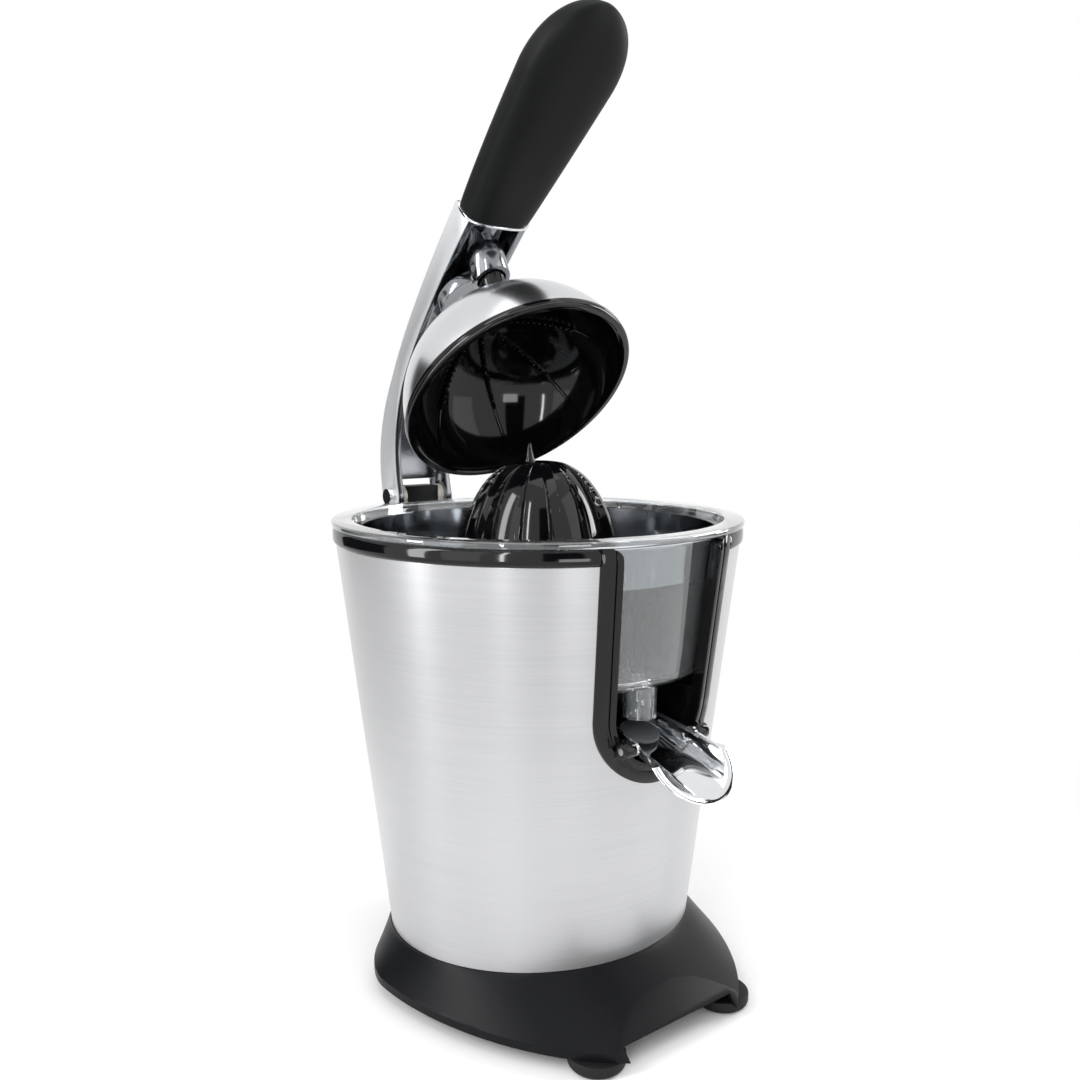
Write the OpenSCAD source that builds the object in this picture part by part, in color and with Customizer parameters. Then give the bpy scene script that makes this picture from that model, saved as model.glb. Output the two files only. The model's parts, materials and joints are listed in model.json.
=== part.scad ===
// Lever citrus press with a motor in its body.
// Millimetres, +Z up, the floor at Z = 0 and the body's axis at X = Y = 0.
// The spout faces -Y and the lever's hinge is on the +Y side.
// The lever is drawn raised.

/* [Body] */
// Outer radius of the steel body at its top edge
body_top_r = 93; // [91:0.5:95]
// Outer radius of the steel body at its bottom edge
body_bottom_r = 71.7; // [70:0.1:74]
// Height of the steel body's top edge
body_top_z = 204; // [201:1:209]
// Height of the steel body's bottom edge on the axis
body_bottom_z = 23; // [22:0.5:25]
// Angle by which the bottom edge rises towards the front
body_tilt = 4.3; // [3.5:0.1:5]
// Wall of the steel body
body_wall = 0.8; // [0.6:0.1:1.2]

/* [Collar and window] */
// Height of the black collar
collar_h = 7.2; // [6:0.1:9]
// How far the collar and the window frame stand out from the steel
collar_proud = 1.4; // [1:0.1:2]
// Half of the window's width at its round bottom
window_half_w = 24; // [22:0.5:25]
// Half of the window's width at its top
window_top_half_w = 27; // [25.5:0.5:28]
// Width of the window frame's band
window_band = 8.5; // [7:0.5:10]
// Depth of the window's round bottom centre below the steel's top edge
window_drop = 62; // [58:1:64]

/* [Base] */
// Half of the base's width
base_half_w = 83.9; // [82:0.1:88]
// Reach of the base's full outline to the front of its centre
base_front = 120.5; // [118:0.5:123]
// Reach of the base's outline to the rear of its centre
base_rear = 60; // [56:1:66]
// Height of the rubber feet
foot_h = 5.5; // [4.5:0.1:7]
// Radius of the rubber feet
foot_r = 12.1; // [10:0.1:13]
// Wall of the base
base_wall = 2.6; // [2:0.1:3.5]

/* [Juice collector] */
// Outer radius of the collector's lip
lip_r = 95; // [94:0.5:98]
// Thickness of the collector's lip
lip_t = 2.8; // [2:0.1:4]
// Wall of the collector
bowl_wall = 2.2; // [1.8:0.1:2.6]
// Depth of the collector below its lip
bowl_depth = 65; // [62:1:66]
// Outer radius of the outlet spigot
spigot_r = 7.3; // [6.5:0.1:8]
// Length of the outlet spigot below the collector
spigot_len = 14; // [10:0.5:15]

/* [Reamer] */
// Radius of the reamer cone at its foot
cone_r = 38.5; // [35:0.5:40]
// Height of the reamer cone without its spike
cone_h = 53; // [50:1:56]
// Height of the spike
spike_h = 9; // [7:0.5:10]
// Number of large ribs on the cone
cone_ribs = 6; // [5:1:8]
// Radius of the drive shaft
shaft_r = 4; // [3.5:0.1:4.5]
// Travel of the cone when it is pressed down
press_travel = 2; // [1.5:0.1:2]

/* [Dome] */
// Outer radius of the dome's black rim
dome_r = 57; // [55:0.5:58]
// Outer depth of the dome
dome_depth = 52.5; // [51:0.5:54]
// Lean of the dome with the lever raised
dome_lean = 44.2; // [43:0.1:45]
// Wall of the dome
dome_wall = 1.2; // [1:0.1:1.6]
// Wall of the dome's liner
liner_wall = 1.8; // [1.5:0.1:2.2]
// Number of juicing ribs in the liner
liner_ribs = 8; // [6:1:12]

/* [Lever] */
// Half of the arm's width
arm_half_w = 17; // [16:0.5:18]
// Thickness of the arm's cheeks
cheek_t = 3.6; // [3:0.1:4.5]
// Thickness of the arm's back web
web_t = 3; // [2.5:0.1:4]
// Length of the grip
grip_len = 107; // [95:1:120]
// Half of the grip's width where it is widest
grip_half_w = 24; // [21:0.5:27]
// Radius of the hinge pin
hinge_pin_r = 3; // [2.5:0.1:3.5]

/* [Spout] */
// Inner reach of the spout's pouring lip from its centre
spout_lip_r = 18.5; // [17:0.5:19]
// Width of the rolled rim around the pouring lip
spout_rim = 2.5; // [2:0.1:3]
// Wall of the spout
spout_wall = 1.3; // [1:0.1:1.8]

/* [Drive] */
// Tooth module of the output stage
output_module = 1.25; // [1.2:0.05:1.3]
// Teeth of the output gear
output_teeth = 56; // [54:2:60]
// Teeth of the idler's small gear
idler_small_teeth = 14; // [14:1:15]
// Tooth module of the motor stage
motor_module = 1; // [0.95:0.05:1.05]
// Teeth of the idler's large gear
idler_large_teeth = 52; // [50:2:54]
// Teeth of the motor pinion
pinion_teeth = 13; // [12:1:14]
// Play between meshing teeth, measured along the pitch circle
gear_backlash = 0.5; // [0.4:0.05:0.7]
// Radius of the motor
motor_r = 29; // [26:1:31]

/* [Hidden] */

// One overrun serves all cuts
over = 1;
// Running play of shafts, play of pieces that are laid in, and play of pushed-in pieces
run_play = 0.06;
lay_play = 0.5;
fit_play = 0.1;
// Smoothness of round pieces
fine = 96;
mid = 48;

collar_top_z = body_top_z + collar_h;
lip_z = collar_top_z + lip_t;
function body_r(z) = body_bottom_r
    + (body_top_r - body_bottom_r) * (z - body_bottom_z) / (body_top_z - body_bottom_z);
function tilt_drop(y) = -tan(body_tilt) * y;

// Base
base_centre_y = 5.6;
base_full_share = 1.767;
base_cut_y = 102.65;
base_cut_rise = 10;
base_cut_run = 10.25;
base_rim_h = 3.6;
base_neck_lap = 0.4;
base_neck_h = 5;
base_neck_wall = 2;
flare_bulge_share = 0.01;
flare_drop_share = 0.11;
base_cut_angle = atan(base_cut_run / base_cut_rise);
recess_half_w = 31;
recess_rise = 4.5;
recess_front_y = 94;
plate_t = 2.6;
foot_stem_r = 3;
foot_stem_h = 4;
foot_boss_wall = 1.8;
foot_round = 2.4;
foot_x = 36.5;
foot_front_y = 88;
foot_rear_x = 42;
foot_rear_y = 32;
foot_places = [[-foot_x, -foot_front_y], [foot_x, -foot_front_y],
               [-foot_rear_x, foot_rear_y], [foot_rear_x, foot_rear_y]];
post_r = 5;
post_gap = 5.7;
post_ring = body_bottom_r - post_r - post_gap;
post_angles = [15, 165, 235, 305];
screw_r = 1.8;
screw_head_r = 3.4;
screw_head_h = 2.2;
screw_deep = 14;
gland_r = 6;
gland_bore_r = 3.2;
gland_len = 13;
gland_flange_r = 9;
gland_flange_t = 3;
gland_z = 41;

// Housing
tub_wall = 2;
tub_gap = 9;
tub_floor_z = lip_z - bowl_depth - tub_gap;
tub_floor_t = 2.2;
tub_skirt = 5;
collar_seat = 4;
collar_round = 2;
bezel_deep = 4.5;
bezel_inner_band = 2.6;
bezel_groove_w = 1.1;
bezel_groove_deep = 0.8;
bezel_corner_r = 7;
steel_lap = 3;
window_arc_z = body_top_z - window_drop;
bezel_low_z = window_arc_z - window_half_w - window_band;
recess_wall = 1.8;
recess_lap = 5;
recess_top_z = tub_floor_z + recess_lap;
tower_r = 7.4;
bush_wall = 1.4;
seal_h = 2;
seal_out_r = 6.6;

// Collector, sieve and cone
bowl_gap = 2.2;
bowl_top_r = body_top_r - body_wall - tub_wall - bowl_gap;
bowl_step = 1.2;
bowl_floor_rise = 6;
bowl_low_z = lip_z - bowl_depth;
bowl_floor_r = body_r(bowl_low_z) - body_wall - tub_wall - bowl_gap;
chimney_r = 10.4;
chimney_wall = 1.7;
spigot_wall = 1.6;
spigot_inset = 2.8;
spigot_y = bowl_floor_r - spigot_r - spigot_inset;
recess_room = 12.1;
recess_back_y = spigot_y - spigot_r - recess_room;
sieve_t = 0.9;
sieve_rim_drop = 4.6;
sieve_rim_w = 2.4;
sieve_wall_h = 17;
sieve_wall_gap = 0.67;
sieve_floor_drop = 38;
sieve_floor_z = lip_z - sieve_floor_drop;
sieve_slope_w = 42;
sieve_floor_r = bowl_top_r - sieve_slope_w;
sieve_flange_w = 2;
tower_rise = 2.5;
tower_top_z = sieve_floor_z + tower_rise;
chimney_rise = 4.5;
chimney_top_z = sieve_floor_z + chimney_rise;
sieve_hole_r = 13.4;
sieve_slot_w = 1.3;
sieve_slots = 36;
sieve_slot_margin = 3;
sieve_slot_gap = 16;
sieve_slot_in_r = sieve_floor_r + sieve_slot_margin;
sieve_slot_out_r = bowl_top_r - sieve_slot_gap;
sieve_floor_slots = 24;
sieve_floor_slot_in_r = sieve_hole_r + 2 * sieve_slot_margin;
sieve_floor_slot_out_r = sieve_floor_r - sieve_slot_margin;
cone_foot_up = 10;
cone_foot_z = sieve_floor_z + cone_foot_up;
cone_wall = 2.4;
cone_core_share = 0.86;
cone_rib_t = 4.4;
cone_small_rib_t = 2.4;
cone_small_rib_share = 0.94;
cone_top_r = 6;
spike_w = 7.4;
spike_side = 4;
spike_turn = 136;
hub_r = 7.4;
hub_sink = 2;
hub_low_z = cone_foot_z - hub_sink;
cone_square_power = 2.05;
cone_steps = 14;
cone_turn = 7;
shaft_in_cone = 24;
shaft_top_z = cone_foot_z + shaft_in_cone;
shaft_flat_share = 0.7;
collar_clip_r = 5.2;
collar_clip_t = 1.6;
spring_r = 5.2;
spring_wire = 0.9;
spring_len = 13;

// Gear train
case_drop = 7.5;
case_h = 31.5;
case_top_z = tub_floor_z - case_drop;
case_low_z = case_top_z - case_h;
shaft_end_gap = 0.4;
shaft_low_z = case_low_z + press_travel + shaft_end_gap;
output_up = 20;
output_z = case_low_z + output_up;
output_w = 8;
idler_y = output_module * (output_teeth + idler_small_teeth) / 2;
stage_distance = motor_module * (idler_large_teeth + pinion_teeth) / 2;
motor_x = 24;
motor_y = idler_y - sqrt(stage_distance * stage_distance - motor_x * motor_x);
large_up = 8;
large_z = case_low_z + large_up;
large_w = 6;
pinion_w = 9;
case_wall = 2.4;
case_play = 3;
pinion_play = 1;
cover_t = 3;
case_main_r = output_module * output_teeth / 2 + output_module + case_play + case_wall;
case_idler_r = motor_module * idler_large_teeth / 2 + motor_module + case_play + case_wall;
case_pinion_r = motor_module * (pinion_teeth / 2 + 1) + pinion_play + case_wall;
case_screw_r = 2;
case_screw_ring = 33.5;
case_screw_angles = [-35, 35, 215, 145];
axle_r = 2.5;
motor_shaft_r = 2;
motor_h = 56;
motor_boss_r = 5;
motor_boss_h = 2;
motor_screw_x = 14;
pressure_angle = 20;
root_share = 1.2;
involute_steps = 4;
switch_w = 20;
switch_d = 7;
switch_h = 10;
switch_gap = 1;
switch_top_z = case_low_z - switch_gap;
switch_post = 3;

// Lever: places are measured from the lip's top and the body's axis
hinge_out = 15;
hinge_up = 1.2;
hinge_y = max(lip_r, body_top_r + collar_proud) + hinge_out;
hinge_z = lip_z + hinge_up;
ear_r = 8.5;
block_half_w = 9.6;
block_front = 5.5;
block_back = 6.5;
block_top = 5.2;
block_drop = 29;
block_low_z = body_top_z - block_drop;
washer_r = 5.5;
pin_head_r = 4.2;
pin_head_t = 2.6;
arm_bend_low = [11, 41];
arm_bend_high = [-11, 77];
ferrule_at = [-74, 139.8];
ear_depth = 17;
mid_depth = 11;
neck_depth = 15;
arm_steps = 20;
arm_slope_share = 0.001;
web_low_share = 0.075;
web_top_share = 0.99;
grip_angle = 43;
ferrule_t = 1.3;
ferrule_lap = 0.8;
grip_root_half_w = 18.2;
grip_half_t = 6.4;
grip_belly = 9.4;
grip_steps = 16;
grip_sides = 40;
grip_round_share = 0.32;
grip_side_share = 0.6;
grip_front_share = 0.62;
grip_back_share = 0.75;
grip_front_more = 4.4;
grip_tip_w = 0.4;
grip_end_power = 2.2;
grip_widest_share = 0.7;
grip_widening_power = 0.8;
grip_belly_share = 0.75;
grip_end_thick_share = 0.8;
grip_droop_power = 1.6;
grip_step_power = 1.35;
grip_droop = 3.4;
tang_half_w = 9;
tang_half_t = 2.6;
tang_len = 62;

dome_reach = 97.6;
dome_centre_y = hinge_y - dome_reach;
dome_up = 54.4;
dome_centre_z = lip_z + dome_up;
dome_steps = 20;
dome_full_share = 1.9;
liner_rib_turn = 21;
rim_ring_h = 4.6;
rim_ring_w = 3.6;
rim_round = 1.4;
dome_shell_r = dome_r - rim_ring_w / 3;
dome_shell_h = dome_depth - rim_ring_h / 2;
liner_rib_t = 1.4;
liner_rib_h = 2.4;
boss_angle = 23.8;
boss_r = 6.4;
boss_low = 50.5;
boss_high = 71;
pivot_up = 66.5;
pivot_pin_r = 1.8;
sleeve_r = 9.4;
sleeve_play = 0.9;
sleeve_low = 60.5;
sleeve_slant = 16;
sleeve_high = 76;
sleeve_root = 90;
sleeve_root_r = 3;
nose_top_share = 0.985;
nose_back_share = 0.085;
nose_low_share = 0.7;
nose_t = 7;
hood_in_r = 64;
hood_out_r = 69.6;
hood_angle = 42;
hood_r = 16.6;

// Spout: its edge line and its floor line are [y, z] from the pivot
spout_pivot_drop = 86;
spout_pivot_out = 1.944;
spout_pivot_z = lip_z - spout_pivot_drop;
spout_pivot_y = -body_r(spout_pivot_z) - spout_pivot_out;
spout_edge = [[22, 6.5], [0, 2.8], [-16.5, -2.9]];
spout_floor = [[22, -1.5], [-4, -8], [-28.9, -16.7]];
spout_root_half_w = 13;
spout_mid_half_w = 17;
spout_rim_share = 0.88;
spout_root_power = 0.7;
spout_steps = 12;
spout_sides = 20;
spout_ear_r = 3;
spout_ear_half_w = 17.2;
spout_pin_r = 1.5;
spout_pin_low = 15.8;
lug_r = 3.4;
lug_low = 17.6;
lug_high = 23.5;
lug_back = 8;
disc_r = 8.6;
disc_t = 1.6;
disc_lean = 15;
disc_sink = 0.6;
disc_stem_r = 3;
disc_stem_h = 3.4;

// Shapes that repeat
module ring(r, wall, h) {
    rotate_extrude($fn = fine) translate([r - wall, 0]) square([wall, h]);
}

module tube(r, bore, h) {
    difference() {
        cylinder(r = r, h = h, $fn = mid);
        translate([0, 0, -over]) cylinder(r = bore, h = h + 2 * over, $fn = mid);
    }
}

function bezier2(a, b, c, t) = a * (1 - t) * (1 - t) + b * 2 * t * (1 - t) + c * t * t;
function bezier3(a, b, c, d, t) = a * pow(1 - t, 3) + b * 3 * t * pow(1 - t, 2)
    + c * 3 * t * t * (1 - t) + d * t * t * t;
function flat(v) = [for (row = v) for (item = row) item];
function rounded(c, power) = sign(c) * pow(abs(c), power);

// Closed skin over rings that turn anticlockwise about the way they travel.
// The caps zigzag between the first and second half of a ring.
module skin(rings) {
    n = len(rings[0]);
    m = len(rings);
    sides = [for (i = [0 : m - 2]) for (j = [0 : n - 1])
        each [[i * n + j, (i + 1) * n + j, (i + 1) * n + (j + 1) % n],
              [i * n + j, (i + 1) * n + (j + 1) % n, i * n + (j + 1) % n]]];
    low = [for (j = [0 : n / 2 - 2])
        each [[j, j + 1, n - 2 - j], [j, n - 2 - j, n - 1 - j]]];
    top = (m - 1) * n;
    high = [for (j = [0 : n / 2 - 2])
        each [[top + n - 2 - j, top + j + 1, top + j], [top + n - 1 - j, top + n - 2 - j, top + j]]];
    polyhedron(points = flat(rings), faces = concat(sides, low, high), convexity = 4);
}

// Base outline and flare
function outline(a, inset) = [
    (base_half_w - inset) * rounded(cos(a), 2 / base_full_share),
    base_centre_y + ((sin(a) < 0 ? base_front : base_rear) - inset)
        * rounded(sin(a), 2 / base_full_share)
];
function flare_point(a, s, inset) =
    let (
        reach = bezier2(0, flare_bulge_share, 1, s),
        fall = bezier2(0, flare_drop_share, 1, s),
        neck_r = body_bottom_r + base_neck_lap - inset,
        neck = [neck_r * cos(a), neck_r * sin(a)],
        low = outline(a, inset),
        neck_z = body_bottom_z + tilt_drop(neck[1]),
        low_z = foot_h + base_rim_h
    )
    [neck[0] + (low[0] - neck[0]) * reach, neck[1] + (low[1] - neck[1]) * reach,
     neck_z + (low_z - neck_z) * fall];

module flare_solid(inset, extra) {
    sides = 64;
    steps = 9;
    bottom = [for (j = [0 : sides - 1])
        let (p = outline(j * 360 / sides, inset)) [p[0], p[1], foot_h - extra]];
    wall = [for (i = [steps : -1 : 0])
        [for (j = [0 : sides - 1]) flare_point(j * 360 / sides, i / steps, inset)]];
    top = [for (j = [0 : sides - 1])
        let (p = flare_point(j * 360 / sides, 0, inset)) [p[0], p[1], p[2] + extra]];
    skin(extra > 0 ? concat([bottom], wall, [top]) : concat([bottom], wall));
}

// Half space in front of the sloping front face, moved back by inset
module front_cut(inset) {
    size = base_front * 2;
    translate([-size / 2, -base_cut_y + inset, foot_h])
        rotate([-base_cut_angle, 0, 0])
            translate([0, -size, -size / 2])
                cube([size, size, size * 2]);
}

// Room between the front feet where the front wall ends higher, grown by extra
module front_room(extra) {
    translate([-recess_half_w - extra, -base_front, foot_h - over])
        cube([2 * (recess_half_w + extra), base_front - recess_front_y + extra,
              recess_rise + over + extra]);
}

module base_skirt() {
    color("#26272b")
    difference() {
        union() {
            difference() {
                flare_solid(0, 0);
                front_cut(0);
                front_room(0);
            }
            intersection() {
                translate([0, 0, foot_h + base_rim_h])
                    ring(body_bottom_r - body_wall - lay_play, base_neck_wall,
                         body_bottom_z + base_neck_h - foot_h - base_rim_h);
                tilted_above(-base_wall);
            }
        }
        difference() {
            flare_solid(base_wall, over);
            front_cut(base_wall);
            front_room(base_wall);
            intersection() {
                translate([0, 0, -over])
                    ring(body_bottom_r - body_wall - lay_play, base_neck_wall, body_top_z);
                tilted_above(-base_wall);
            }
        }
    }
}

// Slab above the tilted plane of the body's bottom edge, shifted up by rise
module tilted_above(rise) {
    size = 4 * body_top_r;
    translate([0, 0, body_bottom_z + rise]) rotate([-body_tilt, 0, 0])
        translate([-size / 2, -size / 2, 0]) cube([size, size, size]);
}

module plate_outline(inset) {
    polygon([for (j = [0 : fine - 1]) outline(j * 360 / fine, inset)]);
}

module base_plate() {
    color("#1b1c1e")
    difference() {
        union() {
            translate([0, 0, foot_h]) linear_extrude(height = plate_t)
                plate_outline(base_wall + fit_play);
            for (p = foot_places) translate([p[0], p[1], foot_h])
                cylinder(r = foot_stem_r + foot_boss_wall, h = foot_stem_h, $fn = mid);
        }
        front_cut(base_wall + fit_play);
        front_room(base_wall + fit_play);
        for (p = foot_places) translate([p[0], p[1], foot_h - over])
            cylinder(r = foot_stem_r, h = foot_stem_h + 2 * over, $fn = mid);
        post_places() translate([0, 0, foot_h - over])
            cylinder(r = screw_r + fit_play, h = plate_t + 2 * over, $fn = mid);
    }
}

module foot(place) {
    color("#141414") translate([place[0], place[1], 0]) {
        rotate_extrude($fn = fine) polygon(concat([[0, 0]],
            [for (a = [-90 : 22.5 : 0]) [foot_r - foot_round + foot_round * cos(a),
                foot_round + foot_round * sin(a)]],
            [[foot_r, foot_h], [0, foot_h]]));
        cylinder(r = foot_stem_r - fit_play, h = foot_h + foot_stem_h, $fn = mid);
    }
}

module post_places() {
    for (a = post_angles) rotate([0, 0, a]) translate([post_ring, 0, 0]) children();
}

module base_screws() {
    color("#8d9094") post_places() {
        translate([0, 0, foot_h - screw_head_h]) {
            cylinder(r = screw_head_r, h = screw_head_h, $fn = mid);
            cylinder(r = screw_r, h = screw_head_h + plate_t + screw_deep - over, $fn = mid);
        }
    }
}

module frame_posts() {
    color("#2e3033") post_places() difference() {
        translate([0, 0, foot_h + plate_t])
            cylinder(r = post_r, h = tub_floor_z - foot_h - plate_t, $fn = mid);
        translate([0, 0, foot_h + plate_t - over])
            cylinder(r = screw_r, h = screw_deep + over, $fn = mid);
    }
}

module gland_axis() {
    translate([0, body_r(gland_z) - gland_flange_t, gland_z]) rotate([-90, 0, 0]) children();
}

module cable_gland() {
    color("#111111") difference() {
        union() {
            gland_axis() cylinder(r = gland_r, h = gland_len, $fn = mid);
            difference() {
                gland_axis() cylinder(r = gland_flange_r, h = 2 * gland_flange_t, $fn = mid);
                body_cone(0);
            }
        }
        gland_axis() translate([0, 0, -over])
            cylinder(r = gland_bore_r, h = gland_len + 2 * over, $fn = mid);
    }
}

// Body
// Window outline whose round bottom has radius r
module window_outline(r) {
    top = lip_z + over;
    top_w = r + (window_top_half_w - window_half_w) * (top - window_arc_z)
        / (collar_top_z - window_arc_z);
    translate([0, window_arc_z]) circle(r = r, $fn = fine);
    polygon([[-r, window_arc_z], [r, window_arc_z], [top_w, top], [-top_w, top]]);
}

module window_prism(r) {
    rotate([90, 0, 0]) linear_extrude(height = 2 * body_top_r) window_outline(r);
}

// Rounds the corners where the window meets the collar's top
module window_corners(r) {
    top_w = window_top_half_w - over;
    rotate([90, 0, 0]) linear_extrude(height = 2 * body_top_r) for (s = [-1, 1])
        difference() {
            translate([s > 0 ? top_w : -top_w - r, collar_top_z - r]) square([r, r + over]);
            translate([s * (top_w + r), collar_top_z - r]) circle(r = r, $fn = mid);
        }
}

// Solid cone of the body's outside, shrunk by inset
module body_cone(inset) {
    low = foot_h;
    rotate_extrude($fn = fine) polygon([
        [0, low], [body_r(low) - inset, low], [body_top_r - inset, body_top_z], [0, body_top_z]]);
}

module body_shell() {
    low = foot_h;
    color("#c9cacb") difference() {
        intersection() {
            rotate_extrude($fn = fine) polygon([
                [body_r(low), low], [body_top_r, body_top_z],
                [body_top_r - body_wall, body_top_z], [body_r(low) - body_wall, low]]);
            tilted_above(0);
        }
        window_prism(window_half_w + window_band - steel_lap);
        gland_axis() cylinder(r = gland_r + fit_play, h = gland_len, $fn = mid);
    }
}

module top_collar() {
    out_r = body_top_r + collar_proud;
    in_r = body_top_r - body_wall - collar_seat;
    color("#1a1b1d") difference() {
        rotate_extrude($fn = fine) polygon([
            [in_r, body_top_z], [out_r - collar_round / 2, body_top_z],
            [out_r, body_top_z + collar_round / 2], [out_r, collar_top_z - collar_round],
            [out_r - collar_round * (1 - cos(45)), collar_top_z - collar_round * (1 - sin(45))],
            [out_r - collar_round, collar_top_z], [in_r, collar_top_z]]);
        window_prism(window_half_w + window_band);
    }
}

// Lugs on the window frame that carry the spout's pins
module spout_lugs() {
    for (s = [-1, 1]) across(s > 0 ? lug_low : -lug_high, s > 0 ? lug_high : -lug_low)
        translate([spout_pivot_y, spout_pivot_z]) {
            circle(r = lug_r, $fn = mid);
            translate([0, -lug_r]) square([lug_back, 2 * lug_r]);
        }
}

module bezel_band(low_r, high_r, proud, sunk) {
    intersection() {
        rotate_extrude($fn = fine) polygon([
            [body_r(bezel_low_z) - sunk, bezel_low_z],
            [body_r(bezel_low_z) + proud, bezel_low_z],
            [body_top_r + proud, body_top_z], [body_top_r + proud, collar_top_z],
            [body_top_r - sunk, collar_top_z], [body_top_r - sunk, body_top_z]]);
        difference() {
            window_prism(high_r);
            translate([0, over, 0]) window_prism(low_r);
        }
    }
}

module window_bezel() {
    outer_r = window_half_w + window_band;
    groove_r = window_half_w + bezel_inner_band;
    color("#17181a") difference() {
        union() {
            bezel_band(window_half_w, outer_r, collar_proud, 0);
            bezel_band(window_half_w, outer_r - steel_lap - fit_play, collar_proud / 2, bezel_deep);
            spout_lugs();
        }
        spout_ears(spout_pin_r, 0, 2 * lug_high);
        window_corners(bezel_corner_r);
        difference() {
            bezel_band(groove_r, groove_r + bezel_groove_w, collar_proud + over, over);
            bezel_band(groove_r - over, groove_r + bezel_groove_w + over,
                       collar_proud - bezel_groove_deep, 2 * over);
        }
    }
}

module housing_tub() {
    skin_gap = body_wall + lay_play;
    skirt_z = tub_floor_z - tub_skirt;
    color("#202124") difference() {
        union() {
            rotate_extrude($fn = fine) polygon([
                [body_r(skirt_z) - skin_gap - tub_wall, skirt_z], [body_r(skirt_z) - skin_gap, skirt_z],
                [body_r(tub_floor_z) - skin_gap, tub_floor_z],
                [body_top_r - skin_gap, body_top_z], [body_top_r - skin_gap - tub_wall, body_top_z],
                [body_r(tub_floor_z) - skin_gap - tub_wall, tub_floor_z]]);
            translate([0, 0, tub_floor_z])
                cylinder(r = body_r(tub_floor_z) - skin_gap - tub_wall / 2, h = tub_floor_t,
                         $fn = fine);
            translate([0, 0, tub_floor_z])
                cylinder(r = tower_r, h = tower_top_z - tub_floor_z, $fn = mid);
        }
        translate([0, 0, tub_floor_z - over])
            cylinder(r = shaft_r + bush_wall + fit_play, h = body_top_z, $fn = mid);
        translate([-window_half_w - recess_wall - fit_play,
                   -2 * body_top_r, tub_floor_z - tub_skirt - over])
            cube([2 * (window_half_w + recess_wall + fit_play),
                  2 * body_top_r - recess_back_y + recess_wall + fit_play,
                  recess_top_z - tub_floor_z + tub_skirt + over]);
        window_prism(window_half_w + window_band - steel_lap);
    }
}

module spout_recess() {
    outer_r = window_half_w + recess_wall;
    color("#131416") difference() {
        intersection() {
            translate([0, -recess_back_y + recess_wall, 0]) rotate([90, 0, 0])
                linear_extrude(height = body_top_r) difference() {
                    union() {
                        translate([0, window_arc_z]) circle(r = outer_r, $fn = fine);
                        translate([-outer_r, window_arc_z])
                            square([2 * outer_r, recess_top_z - window_arc_z]);
                    }
                    translate([-outer_r - over, recess_top_z])
                        square([2 * outer_r + 2 * over, outer_r]);
                }
            body_cone(bezel_deep + fit_play);
        }
        translate([0, -recess_back_y, 0]) rotate([90, 0, 0])
            linear_extrude(height = body_top_r) {
                translate([0, window_arc_z]) circle(r = window_half_w, $fn = fine);
                translate([-window_half_w, window_arc_z])
                    square([2 * window_half_w, body_top_z - window_arc_z]);
            }
    }
}

// Juice collector
module juice_collector() {
    in_top = bowl_top_r - bowl_wall;
    in_floor = bowl_floor_r - bowl_wall;
    ledge_z = lip_z - sieve_rim_drop - sieve_t - fit_play;
    floor_top = bowl_low_z + bowl_wall;
    color("#cfe0ea", 0.35) difference() {
        union() {
            rotate_extrude($fn = fine) difference() {
                polygon([
                    [chimney_r - chimney_wall, bowl_low_z + bowl_floor_rise],
                    [chimney_r + bowl_wall, bowl_low_z + bowl_floor_rise],
                    [bowl_floor_r - bowl_wall, bowl_low_z], [bowl_floor_r, bowl_low_z + bowl_wall],
                    [bowl_top_r, collar_top_z], [lip_r - lip_t / 4, collar_top_z],
                    [lip_r, collar_top_z + lip_t / 4], [lip_r, lip_z - lip_t / 4],
                    [lip_r - lip_t / 4, lip_z],
                    [chimney_r - chimney_wall, lip_z]]);
                polygon([
                    [chimney_r, floor_top + bowl_floor_rise], [in_floor - bowl_wall, floor_top],
                    [in_floor, floor_top + bowl_wall],
                    [in_top - bowl_step, ledge_z],
                    [in_top, ledge_z], [in_top, lip_z + over], [chimney_r, lip_z + over]]);
                translate([0, chimney_top_z])
                    square([chimney_r + over, body_top_z]);
            }
            translate([0, -spigot_y, bowl_low_z - spigot_len])
                cylinder(r = spigot_r, h = spigot_len + bowl_wall, $fn = mid);
        }
        translate([0, -spigot_y, bowl_low_z - spigot_len - over])
            cylinder(r = spigot_r - spigot_wall, h = spigot_len + bowl_wall + 4 * over, $fn = mid);
    }
}

// Inner radius of the bowl's wall between its floor and the sieve's ledge
function bowl_in_r(z) =
    let (
        low = bowl_low_z + 2 * bowl_wall,
        high = lip_z - sieve_rim_drop - sieve_t - fit_play
    )
    bowl_floor_r - bowl_wall + (bowl_top_r - bowl_step - bowl_floor_r) * (z - low) / (high - low);

module sieve() {
    rim_z = lip_z - sieve_rim_drop;
    rim_r = bowl_top_r - bowl_wall - fit_play;
    wall_z = rim_z - sieve_wall_h;
    wall_r = rim_r - sieve_rim_w;
    low_r = bowl_in_r(wall_z) - sieve_wall_gap;
    color("#9a9da0") difference() {
        rotate_extrude($fn = fine) polygon([
            [rim_r, rim_z], [rim_r, rim_z - sieve_t], [wall_r, rim_z - sieve_t],
            [low_r, wall_z], [sieve_floor_r, sieve_floor_z - sieve_t],
            [sieve_floor_r - sieve_flange_w, sieve_floor_z - sieve_t],
            [sieve_floor_r - sieve_flange_w, sieve_floor_z],
            [sieve_floor_r, sieve_floor_z], [low_r - sieve_t, wall_z + sieve_t],
            [wall_r - sieve_t, rim_z]]);
        for (i = [0 : sieve_slots - 1]) rotate([0, 0, (i + 0.5) * 360 / sieve_slots])
            translate([sieve_slot_in_r, -sieve_slot_w / 2, sieve_floor_z - over])
                cube([sieve_slot_out_r - sieve_slot_in_r, sieve_slot_w, body_top_z]);
    }
}

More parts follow.
